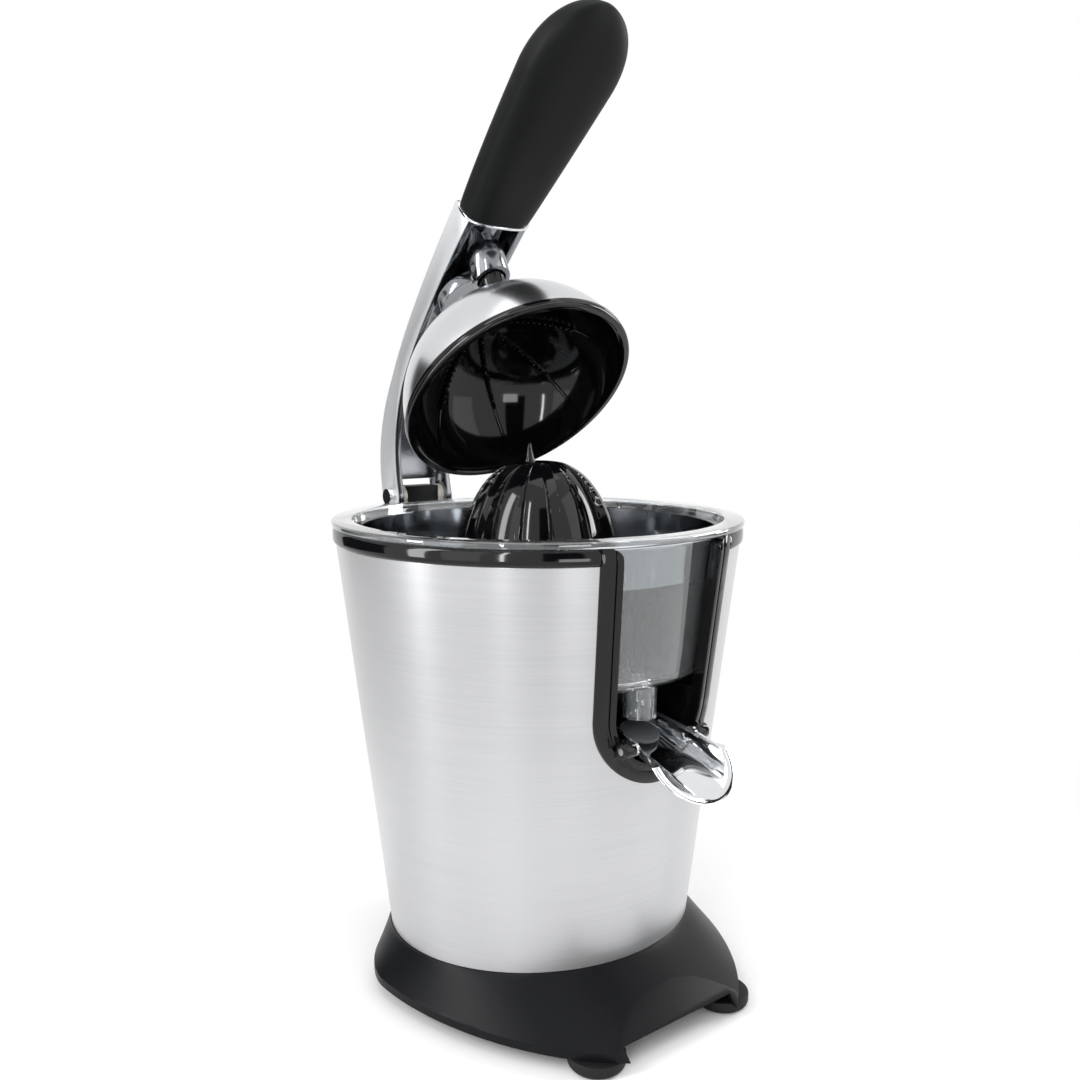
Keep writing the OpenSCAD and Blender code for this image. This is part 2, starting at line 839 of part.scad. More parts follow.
// Flat centre plate of the sieve, spot-welded under the basket's inner flange
module sieve_floor() {
    low = sieve_floor_z - 2 * sieve_t;
    color("#9a9da0") difference() {
        translate([0, 0, low]) cylinder(r = sieve_floor_r - fit_play, h = sieve_t, $fn = fine);
        translate([0, 0, low - over])
            cylinder(r = sieve_hole_r, h = sieve_t + 2 * over, $fn = fine);
        for (i = [0 : sieve_floor_slots - 1]) rotate([0, 0, i * 360 / sieve_floor_slots])
            translate([sieve_floor_slot_in_r, -sieve_slot_w / 2, low - over])
                cube([sieve_floor_slot_out_r - sieve_floor_slot_in_r, sieve_slot_w,
                      sieve_t + 2 * over]);
    }
}

// Reamer cone: height share t from the foot to the top
function cone_profile(t) = pow(1 - pow(t, cone_square_power), 1 / cone_square_power);
function cone_points(r, h, top_r, steps) = [for (i = [0 : steps])
    let (t = i / steps) [top_r + (r - top_r) * cone_profile(t), h * t]];

module cone_outline(share, inset) {
    polygon(concat([[0, 0]], [for (p = cone_points(cone_r * share - inset, cone_h - inset,
        cone_top_r - inset, cone_steps)) p], [[0, cone_h - inset]]));
}

module cone_rib(share, t) {
    rotate([90, 0, 0]) translate([0, 0, -t / 2]) linear_extrude(height = t)
        cone_outline(share, 0);
}

module reamer_cone() {
    hub_h = shaft_top_z - hub_low_z;
    color("#0d0d0f") translate([0, 0, cone_foot_z]) rotate([0, 0, cone_turn]) difference() {
        union() {
            difference() {
                union() {
                    rotate_extrude($fn = fine) cone_outline(cone_core_share, 0);
                    for (i = [0 : cone_ribs - 1]) rotate([0, 0, i * 360 / cone_ribs])
                        cone_rib(1, cone_rib_t);
                    for (i = [0 : cone_ribs - 1]) rotate([0, 0, (i + 0.5) * 360 / cone_ribs])
                        cone_rib(cone_small_rib_share, cone_small_rib_t);
                    rotate([0, 0, spike_turn]) translate([spike_side, 0, cone_h - cone_top_r])
                        cylinder(d1 = spike_w, d2 = spike_w / 4, h = spike_h + cone_top_r,
                                 $fn = mid);
                }
                translate([0, 0, -over]) rotate_extrude($fn = fine)
                    cone_outline(cone_core_share, cone_wall);
            }
            translate([0, 0, hub_low_z - cone_foot_z]) cylinder(r = hub_r, h = hub_h, $fn = mid);
            intersection() {
                for (i = [0 : 2]) rotate([0, 0, i * 120]) translate([0, -cone_wall / 2, cone_h / 5])
                    cube([cone_r, cone_wall, cone_h / 4]);
                rotate_extrude($fn = fine) cone_outline(cone_core_share, cone_wall / 2);
            }
        }
        translate([0, 0, hub_low_z - cone_foot_z - over])
            cylinder(r = shaft_r, h = hub_h + over, $fn = mid);
    }
}

// Drive
module drive_shaft() {
    flat_x = shaft_r * shaft_flat_share;
    color("#b9bcc0") difference() {
        translate([0, 0, shaft_low_z])
            cylinder(r = shaft_r, h = shaft_top_z - shaft_low_z, $fn = mid);
        translate([flat_x, -shaft_r - over, shaft_low_z - over])
            cube([shaft_r, 2 * (shaft_r + over), case_top_z + press_travel + 2 * over - shaft_low_z]);
    }
}

module thrust_collar() {
    color("#7b7e82") translate([0, 0, case_top_z + cover_t + spring_len])
        tube(collar_clip_r, shaft_r, collar_clip_t);
}

module return_spring() {
    color("#8a8d91") translate([0, 0, case_top_z + cover_t])
        tube(spring_r, spring_r - spring_wire, spring_len);
}

module tower_bush() {
    low = case_top_z + cover_t + spring_len + collar_clip_t + run_play;
    color("#a8854a") translate([0, 0, low])
        tube(shaft_r + bush_wall, shaft_r + run_play, tower_top_z - low);
}

module shaft_seal() {
    color("#1c1c1c") translate([0, 0, tower_top_z])
        tube(seal_out_r, shaft_r + run_play, seal_h);
}

module case_outline(inset) {
    circle(r = case_main_r - inset, $fn = fine);
    translate([0, idler_y]) circle(r = case_idler_r - inset, $fn = fine);
    translate([-motor_x, motor_y]) circle(r = case_pinion_r - inset, $fn = fine);
}

module case_bosses() {
    for (a = case_screw_angles) rotate(a)
        translate([case_main_r + case_screw_r, 0]) circle(r = 2 * case_screw_r, $fn = mid);
}

module case_holes(r, low, h) {
    for (a = case_screw_angles) rotate([0, 0, a])
        translate([case_main_r + case_screw_r, 0, low]) cylinder(r = r, h = h, $fn = mid);
}

module gearbox_case() {
    h = case_top_z - case_low_z;
    color("#d8d4c8") difference() {
        translate([0, 0, case_low_z]) linear_extrude(height = h) {
            case_outline(0);
            case_bosses();
        }
        translate([0, 0, case_low_z + case_wall]) linear_extrude(height = h) case_outline(case_wall);
        case_holes(case_screw_r - fit_play, case_low_z - over, h + 2 * over);
        translate([0, 0, case_low_z - over])
            cylinder(r = shaft_r + run_play, h = h, $fn = mid);
        translate([0, idler_y, case_low_z - over]) cylinder(r = axle_r, h = h, $fn = mid);
        translate([-motor_x, motor_y, case_low_z - over])
            cylinder(r = motor_boss_r + fit_play, h = case_wall + 2 * over, $fn = mid);
        motor_screw_places() translate([0, 0, case_low_z - over])
            cylinder(r = screw_r + fit_play, h = case_wall + 2 * over, $fn = mid);
    }
}

module gearbox_cover() {
    color("#d0ccc0") difference() {
        union() {
            translate([0, 0, case_top_z]) linear_extrude(height = cover_t) {
                case_outline(0);
                case_bosses();
            }
            for (a = case_screw_angles) rotate([0, 0, a]) translate([case_screw_ring, 0, case_top_z])
                cylinder(r = post_r, h = tub_floor_z - case_top_z, $fn = mid);
        }
        case_holes(case_screw_r, case_top_z - over, cover_t + 2 * over);
        translate([0, 0, case_top_z - over])
            cylinder(r = shaft_r + run_play, h = cover_t + 2 * over, $fn = mid);
        translate([0, idler_y, case_top_z - over])
            cylinder(r = axle_r, h = cover_t + 2 * over, $fn = mid);
    }
}

module gearbox_screws() {
    color("#8d9094") {
        case_holes(case_screw_r - fit_play, case_low_z + over,
                   case_top_z + cover_t - case_low_z - over);
        case_holes(2 * case_screw_r - fit_play, case_top_z + cover_t, screw_head_h);
    }
}

// Involute spur gear, its bore and one tooth on +X
function involute_angle(roll) = roll - atan(roll * PI / 180);
function roll_at(base_r, r) = r <= base_r ? 0 : sqrt(pow(r / base_r, 2) - 1) * 180 / PI;

module gear_outline(gear_module, teeth, backlash) {
    pitch_r = gear_module * teeth / 2;
    base_r = pitch_r * cos(pressure_angle);
    tip_r = pitch_r + gear_module;
    root_r = pitch_r - root_share * gear_module;
    start_r = max(base_r, root_r);
    half_tooth = 90 / teeth - (backlash / 4) / pitch_r * 180 / PI
        + involute_angle(roll_at(base_r, pitch_r));
    flank = [for (i = [0 : involute_steps])
        let (r = start_r + (tip_r - start_r) * i / involute_steps)
        [r, half_tooth - involute_angle(roll_at(base_r, r))]];
    polygon([for (k = [0 : teeth - 1]) each concat(
        [let (a = k * 360 / teeth - flank[0][1]) root_r * [cos(a), sin(a)]],
        [for (f = flank) let (a = k * 360 / teeth - f[1]) f[0] * [cos(a), sin(a)]],
        [for (i = [involute_steps : -1 : 0])
            let (f = flank[i], a = k * 360 / teeth + f[1]) f[0] * [cos(a), sin(a)]],
        [let (a = k * 360 / teeth + flank[0][1]) root_r * [cos(a), sin(a)]])]);
}

module output_gear() {
    flat_x = shaft_r * shaft_flat_share + fit_play;
    color("#e6e3da") difference() {
        union() {
            translate([0, 0, output_z]) linear_extrude(height = output_w)
                gear_outline(output_module, output_teeth, gear_backlash);
            translate([0, 0, case_low_z + case_wall + run_play]) cylinder(r = shaft_r + bush_wall * 2,
                h = case_top_z - case_low_z - case_wall - 2 * run_play, $fn = mid);
        }
        intersection() {
            translate([0, 0, case_low_z]) cylinder(r = shaft_r + run_play,
                h = case_top_z - case_low_z + over, $fn = mid);
            translate([-2 * shaft_r, -2 * shaft_r, case_low_z])
                cube([2 * shaft_r + flat_x, 4 * shaft_r, case_top_z - case_low_z + over]);
        }
    }
}

module idler_gear() {
    mesh_turn = idler_small_teeth % 2 == 0 ? 180 / idler_small_teeth : 0;
    color("#dedbd0") translate([0, idler_y, 0]) difference() {
        union() {
            rotate([0, 0, -90 + mesh_turn + idler_small_phase]) translate([0, 0, output_z - over])
                linear_extrude(height = output_w + 2 * over)
                    gear_outline(output_module, idler_small_teeth, gear_backlash);
            rotate([0, 0, idler_large_phase]) translate([0, 0, large_z])
                linear_extrude(height = large_w)
                    gear_outline(motor_module, idler_large_teeth, gear_backlash);
            translate([0, 0, case_low_z + case_wall + run_play]) cylinder(r = axle_r + bush_wall * 2,
                h = case_top_z - case_low_z - case_wall - 2 * run_play, $fn = mid);
        }
        translate([0, 0, case_low_z])
            cylinder(r = axle_r + run_play, h = case_top_z - case_low_z + over, $fn = mid);
    }
}

module idler_axle() {
    color("#b9bcc0") translate([0, idler_y, case_low_z])
        cylinder(r = axle_r, h = case_top_z + cover_t - case_low_z, $fn = mid);
}

// Angles that put the teeth in mesh: the output gear has a tooth on +X
idler_small_phase = output_teeth * (90 - round(90 * output_teeth / 360) * 360 / output_teeth)
    / idler_small_teeth;
motor_line_angle = atan2(motor_y - idler_y, -motor_x);
idler_large_phase = motor_line_angle;
pinion_phase = motor_line_angle + 180 + 180 / pinion_teeth;

module motor_shaft() {
    color("#c7a24f") translate([-motor_x, motor_y, 0]) {
        translate([0, 0, large_z - (pinion_w - large_w) / 2]) rotate([0, 0, pinion_phase])
            linear_extrude(height = pinion_w)
                gear_outline(motor_module, pinion_teeth, gear_backlash);
        translate([0, 0, case_low_z - motor_h / 2]) cylinder(r = motor_shaft_r,
            h = motor_h / 2 + large_z + large_w - case_low_z, $fn = mid);
    }
}

module motor_screw_places() {
    translate([-motor_x, motor_y, 0]) rotate([0, 0, atan2(motor_y, -motor_x) - 90])
        for (s = [-1, 1]) translate([s * motor_screw_x, 0, 0]) children();
}

module motor_can() {
    color("#6f7276") translate([-motor_x, motor_y, 0]) difference() {
        union() {
            translate([0, 0, case_low_z - motor_h])
                cylinder(r = motor_r, h = motor_h, $fn = fine);
            translate([0, 0, case_low_z]) cylinder(r = motor_boss_r, h = motor_boss_h, $fn = mid);
        }
        translate([0, 0, case_low_z - motor_h / 2 - over])
            cylinder(r = motor_shaft_r + run_play, h = motor_h, $fn = mid);
        rotate([0, 0, atan2(motor_y, -motor_x) - 90]) for (s = [-1, 1])
            translate([s * motor_screw_x, 0, case_low_z - 2 * screw_deep / 3])
                cylinder(r = screw_r, h = screw_deep, $fn = mid);
    }
}

module motor_screws() {
    color("#8d9094") motor_screw_places() {
        translate([0, 0, case_low_z - screw_deep / 2])
            cylinder(r = screw_r, h = screw_deep / 2 + case_wall, $fn = mid);
        translate([0, 0, case_low_z + case_wall])
            cylinder(r = screw_head_r, h = screw_head_h / 2, $fn = mid);
    }
}

module microswitch() {
    button_h = case_low_z + shaft_end_gap - fit_play - switch_top_z + switch_post;
    color("#232323") translate([shaft_r / 2, 0, 0]) {
        translate([0, -switch_d / 2, switch_top_z - switch_h - switch_post])
            cube([switch_w, switch_d, switch_h]);
        translate([switch_w - switch_post, -switch_d / 2, switch_top_z - switch_post])
            cube([switch_post, switch_d, case_low_z - switch_top_z + switch_post]);
    }
    color("#b03030") translate([0, 0, switch_top_z - switch_post - switch_h / 2]) {
        translate([shaft_r / 2, 0, switch_h / 2]) cylinder(r = shaft_r / 4, h = button_h, $fn = mid);
    }
}

// Lever: side profile points are [y, z] from the hinge
function arm_mid(t) = bezier3([0, 0], arm_bend_low, arm_bend_high, ferrule_at, t);
function arm_step(t) = let (d = arm_mid(t + arm_slope_share) - arm_mid(t - arm_slope_share))
    d / norm(d);
function arm_normal(t) = let (d = arm_step(t)) [d[1], -d[0]];
function arm_depth(t) = t < 0.5 ? bezier2(ear_depth, ear_depth, mid_depth, t * 2)
    : bezier2(mid_depth, mid_depth, neck_depth, t * 2 - 1);
function arm_back(t) = arm_mid(t) + arm_normal(t) * arm_depth(t) / 2;
function arm_front(t) = arm_mid(t) - arm_normal(t) * arm_depth(t) / 2;

// Turns an outline in [y, z] into a plate across X, from x = low to high
module across(low, high) {
    translate([low, 0, 0]) rotate([90, 0, 90]) linear_extrude(height = high - low) children();
}

module cheek_outline() {
    polygon(concat([for (i = [0 : arm_steps]) arm_back(i / arm_steps)],
                   [for (i = [arm_steps : -1 : 0]) arm_front(i / arm_steps)]));
    circle(r = ear_r, $fn = mid);
}

module web_outline() {
    shares = [for (i = [0 : arm_steps])
        web_low_share + (web_top_share - web_low_share) * i / arm_steps];
    polygon(concat([for (t = shares) arm_back(t)],
        [for (i = [arm_steps : -1 : 0]) arm_back(shares[i]) - arm_normal(shares[i]) * web_t]));
}

module at_hinge() {
    translate([0, hinge_y, hinge_z]) children();
}

module at_dome() {
    translate([0, dome_centre_y, dome_centre_z]) children();
}

module arm() {
    inner = arm_half_w - cheek_t;
    color("#bfc1c4") difference() {
        union() {
            at_hinge() {
                across(inner, arm_half_w) cheek_outline();
                across(-arm_half_w, -inner) cheek_outline();
                across(-inner - over, inner + over) web_outline();
                across(-inner - over, inner + over) neck_outline();
                across(-nose_t / 2, nose_t / 2) nose_outline();
            }
            intersection() {
                at_dome() rotate([-boss_angle, 0, 0]) rotate_extrude($fn = mid) polygon([
                    [0, sleeve_low], [sleeve_r, sleeve_low], [sleeve_r, sleeve_high],
                    [sleeve_root_r, sleeve_root], [0, sleeve_root]]);
                at_hinge() across(-2 * sleeve_r, 2 * sleeve_r) nose_room();
            }
            at_dome() {
                intersection() {
                    difference() {
                        sphere(r = hood_out_r, $fn = fine);
                        sphere(r = hood_in_r, $fn = fine);
                    }
                    rotate([-hood_angle, 0, 0]) cylinder(r = hood_r, h = hood_out_r, $fn = mid);
                }
            }
        }
        at_hinge() rotate([0, 90, 0])
            cylinder(r = hinge_pin_r + run_play, h = 4 * arm_half_w, center = true, $fn = mid);
        at_grip() translate([-2 * arm_half_w, -2 * neck_depth, 0])
            cube([4 * arm_half_w, 4 * neck_depth, 2 * neck_depth]);
        at_dome() rotate([-boss_angle, 0, 0]) {
            translate([0, 0, sleeve_low - over]) cylinder(r = boss_r + sleeve_play,
                h = boss_high + 2 * over - sleeve_low, $fn = mid);
            translate([0, 0, pivot_up]) rotate([0, 90, 0])
                cylinder(r = pivot_pin_r, h = 4 * sleeve_r, center = true, $fn = mid);
            translate([0, 0, sleeve_low]) rotate([-sleeve_slant, 0, 0])
                translate([-2 * sleeve_r, -4 * sleeve_r, -sleeve_r])
                    cube([4 * sleeve_r, 8 * sleeve_r, sleeve_r]);
        }
    }
}

// Solid neck of the arm under the ferrule
module neck_outline() {
    back = -2 * ferrule_t * arm_step(1);
    polygon([arm_back(1), arm_front(1), arm_front(1) + back, arm_back(1) + back]);
}

// Room in front of the arm's back face that the nose may fill
module nose_room() {
    dome_at = [dome_centre_y - hinge_y, dome_centre_z - hinge_z];
    up = [sin(boss_angle), cos(boss_angle)];
    side = [cos(boss_angle), -sin(boss_angle)];
    first = arm_steps / 2;
    polygon(concat([for (i = [first : arm_steps]) arm_back(i / arm_steps)
            - arm_normal(i / arm_steps) * web_t / 2],
        [dome_at + up * sleeve_root - side * 2 * sleeve_r,
         dome_at + up * (sleeve_low - over) - side * 2 * sleeve_r,
         dome_at + up * (sleeve_low - over) + side * 2 * sleeve_r]));
}

// Rib that runs from the ferrule down over the sleeve and behind it
module nose_outline() {
    dome_at = [dome_centre_y - hinge_y, dome_centre_z - hinge_z];
    up = [sin(boss_angle), cos(boss_angle)];
    side = [cos(boss_angle), -sin(boss_angle)];
    polygon([
        arm_back(nose_top_share) - arm_normal(nose_top_share) * web_t / 2,
        arm_front(nose_top_share) + arm_normal(nose_top_share) * web_t,
        arm_mid(nose_top_share - nose_back_share),
        dome_at + up * sleeve_high - side * sleeve_root_r,
        dome_at + up * sleeve_high + side * (sleeve_root_r / 2),
        dome_at + up * (hood_out_r - over) + side * (sleeve_r - over),
        dome_at + up * (hood_out_r - over) + side * (sleeve_r + web_t),
        arm_back(nose_low_share) - arm_normal(nose_low_share) * web_t / 2]);
}

module hinge_pin() {
    reach = arm_half_w + pin_head_t;
    color("#d4d6d8") at_hinge() rotate([0, 90, 0]) {
        cylinder(r = hinge_pin_r, h = 2 * arm_half_w, center = true, $fn = mid);
        for (s = [-1, 1]) translate([0, 0, s * (arm_half_w + fit_play + pin_head_t / 2)])
            cylinder(r = pin_head_r, h = pin_head_t, center = true, $fn = mid);
        cylinder(r = hinge_pin_r, h = 2 * reach, center = true, $fn = mid);
    }
}

module hinge_washers() {
    inner = arm_half_w - cheek_t;
    gap = inner - block_half_w;
    color("#e8e8e8") at_hinge() for (s = [-1, 1])
        translate([s * (block_half_w + gap / 2), 0, 0]) rotate([0, 90, 0])
            difference() {
                cylinder(r = washer_r, h = gap - 2 * run_play, center = true, $fn = mid);
                cylinder(r = hinge_pin_r + run_play, h = gap + over, center = true, $fn = mid);
            }
}

module hinge_block() {
    foot_y = body_top_r + collar_proud;
    color("#18191b") difference() {
        union() {
            at_hinge() across(-block_half_w, block_half_w) {
                translate([-block_front, -ear_r]) square([block_front + block_back, ear_r + block_top]);
            }
            translate([-block_half_w, body_r(block_low_z) - bezel_deep, block_low_z])
                cube([2 * block_half_w, hinge_y + block_back - body_r(block_low_z) + bezel_deep,
                      hinge_z - ear_r - block_low_z]);
        }
        translate([0, 0, block_low_z - over]) rotate_extrude($fn = fine) polygon([
            [0, 0], [body_r(block_low_z - over) + fit_play, 0],
            [body_r(body_top_z) + fit_play, body_top_z - block_low_z + over],
            [foot_y + fit_play, body_top_z - block_low_z + over],
            [foot_y + fit_play, collar_top_z - block_low_z + over],
            [lip_r + fit_play, collar_top_z - block_low_z + over],
            [lip_r + fit_play, 2 * lip_z], [0, 2 * lip_z]]);
        at_hinge() rotate([0, 90, 0])
            cylinder(r = hinge_pin_r, h = 4 * arm_half_w, center = true, $fn = mid);
    }
}

// Grip: u along it from the ferrule, v up and back across it
grip_at = [hinge_y + ferrule_at[0], hinge_z + ferrule_at[1]];
module at_grip() {
    translate([0, grip_at[0], grip_at[1]]) rotate([90 - grip_angle, 0, 0]) children();
}

function grip_end(t, share) = t < 1 - share ? 1
    : sqrt(max(0, 1 - pow((t - 1 + share) / share, grip_end_power)));
function grip_w(t) = (grip_root_half_w + (grip_half_w - grip_root_half_w)
    * pow(min(1, t / grip_widest_share), grip_widening_power)) * grip_end(t, grip_round_share);
function grip_v(t) = -grip_droop * pow(t, grip_droop_power);
function grip_thick(t) = (grip_half_t
    + (grip_belly - grip_half_t) * sin(min(1, t / grip_belly_share) * 90))
    * grip_end(t, grip_round_share * grip_end_thick_share);
function grip_ring(t, inset) = [for (j = [0 : grip_sides - 1])
    let (
        a = j * 360 / grip_sides,
        power = sin(a) < 0 ? grip_front_share : grip_back_share,
        w = max(grip_w(t), grip_tip_w) - inset,
        h = max(grip_thick(t) + (sin(a) < 0 ? grip_front_more * (1 - t) : 0), grip_tip_w) - inset
    )
    [w * rounded(cos(a), grip_side_share), grip_v(t) + h * rounded(sin(a), power), t * grip_len]];

module grip() {
    color("#1d1e20") at_grip() difference() {
        translate([0, 0, ferrule_t])
            skin([for (i = [0 : grip_steps])
                grip_ring(1 - pow(1 - i / grip_steps, grip_step_power), 0)]);
        translate([-tang_half_w - fit_play, -tang_half_t - fit_play, -over])
            cube([2 * (tang_half_w + fit_play), 2 * (tang_half_t + fit_play), tang_len + 2 * over]);
    }
}

module grip_ferrule() {
    color("#dfe1e3") at_grip() difference() {
        linear_extrude(height = ferrule_t)
            polygon([for (p = grip_ring(0, -ferrule_lap)) [p[0], p[1]]]);
        translate([-tang_half_w, -tang_half_t, -over])
            cube([2 * tang_half_w, 2 * tang_half_t, ferrule_t + 2 * over]);
    }
}

module grip_tang() {
    color("#9b9ea2") at_grip() translate([-tang_half_w, -tang_half_t, 0])
        cube([2 * tang_half_w, 2 * tang_half_t, tang_len]);
}

// Dome: drawn about its own axis with the rim's plane at z = 0
function dome_points(r, h) = [for (i = [0 : dome_steps])
    let (a = i * 90 / dome_steps)
    [r * pow(cos(a), 2 / dome_full_share), h * pow(sin(a), 2 / dome_full_share)]];

module dome_skin(r, h, wall) {
    rotate_extrude($fn = fine) difference() {
        polygon(concat([[0, 0]], dome_points(r, h)));
        polygon(concat([[0, 0]], dome_points(r - wall, h - wall)));
    }
}

module leaned() {
    at_dome() rotate([-dome_lean, 0, 0]) children();
}

module dome_shell() {
    color("#d3d4d5") leaned() difference() {
        translate([0, 0, rim_ring_h / 2])
            dome_skin(dome_shell_r, dome_shell_h, dome_wall);
        rotate([dome_lean - boss_angle, 0, 0])
            cylinder(r = boss_r, h = 2 * dome_depth, $fn = mid);
    }
}

module dome_liner() {
    r = dome_shell_r - dome_wall - fit_play;
    h = dome_shell_h - dome_wall - fit_play;
    color("#0f0f11") leaned() translate([0, 0, rim_ring_h / 2]) {
        dome_skin(r, h, liner_wall);
        for (i = [0 : liner_ribs - 1]) rotate([0, 0, liner_rib_turn + i * 360 / liner_ribs])
            rotate([90, 0, 0]) translate([0, 0, -liner_rib_t / 2])
                linear_extrude(height = liner_rib_t) difference() {
                    polygon(concat([[0, 0]], dome_points(r - liner_wall / 2, h - liner_wall / 2)));
                    polygon(concat([[-over, -over], [r - liner_wall - liner_rib_h, -over]],
                        dome_points(r - liner_wall - liner_rib_h, h - liner_wall - liner_rib_h),
                        [[-over, h - liner_wall - liner_rib_h]]));
                }
    }
}

module dome_rim() {
    out = dome_r;
    color("#101012") leaned() rotate_extrude($fn = fine) polygon([
        [out - rim_ring_w, 0], [out - rim_round, 0], [out, rim_round],
        [out, rim_ring_h - rim_round], [out - rim_round / 2, rim_ring_h / 2],
        [out - rim_ring_w, rim_ring_h / 2]]);
}

module dome_boss() {
    color("#141416") at_dome() rotate([-boss_angle, 0, 0]) difference() {
        translate([0, 0, boss_low]) cylinder(r = boss_r, h = boss_high - boss_low, $fn = mid);
        translate([0, 0, pivot_up]) rotate([0, 90, 0])
            cylinder(r = pivot_pin_r + run_play, h = 4 * boss_r, center = true, $fn = mid);
        rotate([boss_angle - dome_lean, 0, 0]) translate([0, 0, rim_ring_h / 2])
            rotate_extrude($fn = fine) polygon(concat([[0, 0]],
                dome_points(dome_shell_r - dome_wall, dome_shell_h - dome_wall)));
    }
}

module dome_pivot_pin() {
    color("#c8cacc") at_dome() rotate([-boss_angle, 0, 0]) translate([0, 0, pivot_up])
        rotate([0, 90, 0]) cylinder(r = pivot_pin_r, h = 2 * sleeve_r - over, center = true, $fn = mid);
}

// Spout: a scoop between its edge line and its floor line
function spout_w(t) = bezier2(spout_root_half_w, spout_mid_half_w, spout_lip_r, t);
function spout_ring(t, inset) =
    let (
        e = bezier2(spout_edge[0], spout_edge[1], spout_edge[2], t),
        f = bezier2(spout_floor[0], spout_floor[1], spout_floor[2], t),
        d = f - e,
        deep = norm(d),
        n = d / deep,
        power = spout_root_power + (1 - spout_root_power) * t
    )
    [for (j = [0 : spout_sides])
        let (a = 180 - 180 * j / spout_sides, w = spout_w(t) - inset, h = deep - inset)
        [w * rounded(cos(a), power), e[0] + n[0] * h * rounded(sin(a), power),
         e[1] + n[1] * h * rounded(sin(a), power)]];

// Share of the rolled rim that has grown by t
function spout_rim_at(t) = t < spout_rim_share ? 0
    : spout_rim * sin((t - spout_rim_share) / (1 - spout_rim_share) * 90);

module spout_sheet() {
    shares = concat([for (i = [0 : spout_steps - 1]) spout_rim_share * i / (spout_steps - 1)],
        [for (i = [1 : 4]) spout_rim_share + (1 - spout_rim_share) * i / 4]);
    rings = [for (t = shares) concat(spout_ring(t, -spout_rim_at(t)),
        [for (j = [spout_sides : -1 : 0]) spout_ring(t, spout_wall)[j]])];
    translate([0, spout_pivot_y, spout_pivot_z]) skin(rings);
}

module spout_ears(r, low, high) {
    translate([0, spout_pivot_y, spout_pivot_z]) for (s = [-1, 1])
        rotate([0, s * 90, 0]) translate([0, 0, low]) cylinder(r = r, h = high - low, $fn = mid);
}

module spout() {
    color("#dadcde") difference() {
        union() {
            spout_sheet();
            spout_ears(spout_ear_r, spout_pin_low, spout_ear_half_w);
        }
        spout_ears(spout_pin_r + run_play, spout_pin_low - over, 2 * spout_lip_r);
        at_disc() translate([0, 0, -disc_stem_h - over])
            cylinder(r = disc_stem_r, h = disc_stem_h + over, $fn = mid);
    }
}

module spout_pins() {
    color("#b9bcc0") spout_ears(spout_pin_r, spout_pin_low, lug_high);
}

module at_disc() {
    translate([0, -spigot_y, spout_pivot_z - disc_sink]) rotate([disc_lean, 0, 0]) children();
}

module drip_disc() {
    color("#6b6e70") at_disc() {
        cylinder(r = disc_r, h = disc_t, $fn = mid);
        translate([0, 0, -disc_stem_h]) cylinder(r = disc_stem_r, h = disc_stem_h, $fn = mid);
    }
}

base_skirt();
base_plate();
foot(foot_places[0]);  // foot_front_left
foot(foot_places[1]);  // foot_front_right
foot(foot_places[2]);  // foot_rear_left
foot(foot_places[3]);  // foot_rear_right
base_screws();
frame_posts();
body_shell();
top_collar();
window_bezel();
housing_tub();
spout_recess();
cable_gland();
hinge_block();
hinge_pin();
hinge_washers();
juice_collector();
sieve();
sieve_floor();
reamer_cone();
drive_shaft();
thrust_collar();
tower_bush();
shaft_seal();
return_spring();
gearbox_case();
gearbox_cover();
gearbox_screws();
output_gear();
idler_gear();
idler_axle();
motor_can();
motor_screws();
motor_shaft();
microswitch();
arm();
grip_ferrule();
grip_tang();
grip();
dome_shell();
dome_liner();
dome_rim();
dome_boss();
dome_pivot_pin();
spout();
spout_pins();
drip_disc();
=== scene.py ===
import json
import math
from math import cos, pi, radians, sin

import bmesh
import bpy
from mathutils import Matrix, Vector


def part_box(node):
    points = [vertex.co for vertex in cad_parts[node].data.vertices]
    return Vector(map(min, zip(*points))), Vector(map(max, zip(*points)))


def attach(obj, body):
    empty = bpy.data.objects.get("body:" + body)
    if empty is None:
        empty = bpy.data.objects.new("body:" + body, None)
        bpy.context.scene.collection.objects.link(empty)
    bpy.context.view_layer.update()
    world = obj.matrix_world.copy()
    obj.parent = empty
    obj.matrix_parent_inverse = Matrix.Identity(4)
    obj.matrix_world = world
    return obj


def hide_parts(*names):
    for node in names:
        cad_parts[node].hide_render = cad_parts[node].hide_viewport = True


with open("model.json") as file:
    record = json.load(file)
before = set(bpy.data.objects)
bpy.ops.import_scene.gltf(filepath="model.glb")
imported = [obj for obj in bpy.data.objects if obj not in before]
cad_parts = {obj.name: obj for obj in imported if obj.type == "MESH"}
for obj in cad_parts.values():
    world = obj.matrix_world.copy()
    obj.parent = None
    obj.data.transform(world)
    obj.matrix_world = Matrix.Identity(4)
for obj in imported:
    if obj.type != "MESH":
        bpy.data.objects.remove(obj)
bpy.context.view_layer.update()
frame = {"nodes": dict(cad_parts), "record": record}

nodes = frame["nodes"]
mm = 0.001


# Camera: stands at the front left, a little above the rim. Its place, turn and lens are what the
# camera fit found for the photograph.
camera_place = (-0.2863, -0.3799, 0.2679)
camera_turn = (82.116, 0.0, -37.12)
camera_lens = 34.12
camera_sensor = 36.0

camera = bpy.data.objects.new("camera", bpy.data.cameras.new("camera"))
camera.data.lens = camera_lens
camera.data.sensor_width = camera_sensor
camera.location = camera_place
camera.rotation_euler = [radians(a) for a in camera_turn]
bpy.context.scene.collection.objects.link(camera)
bpy.context.scene.camera = camera
bpy.context.scene.view_settings.view_transform = "Standard"


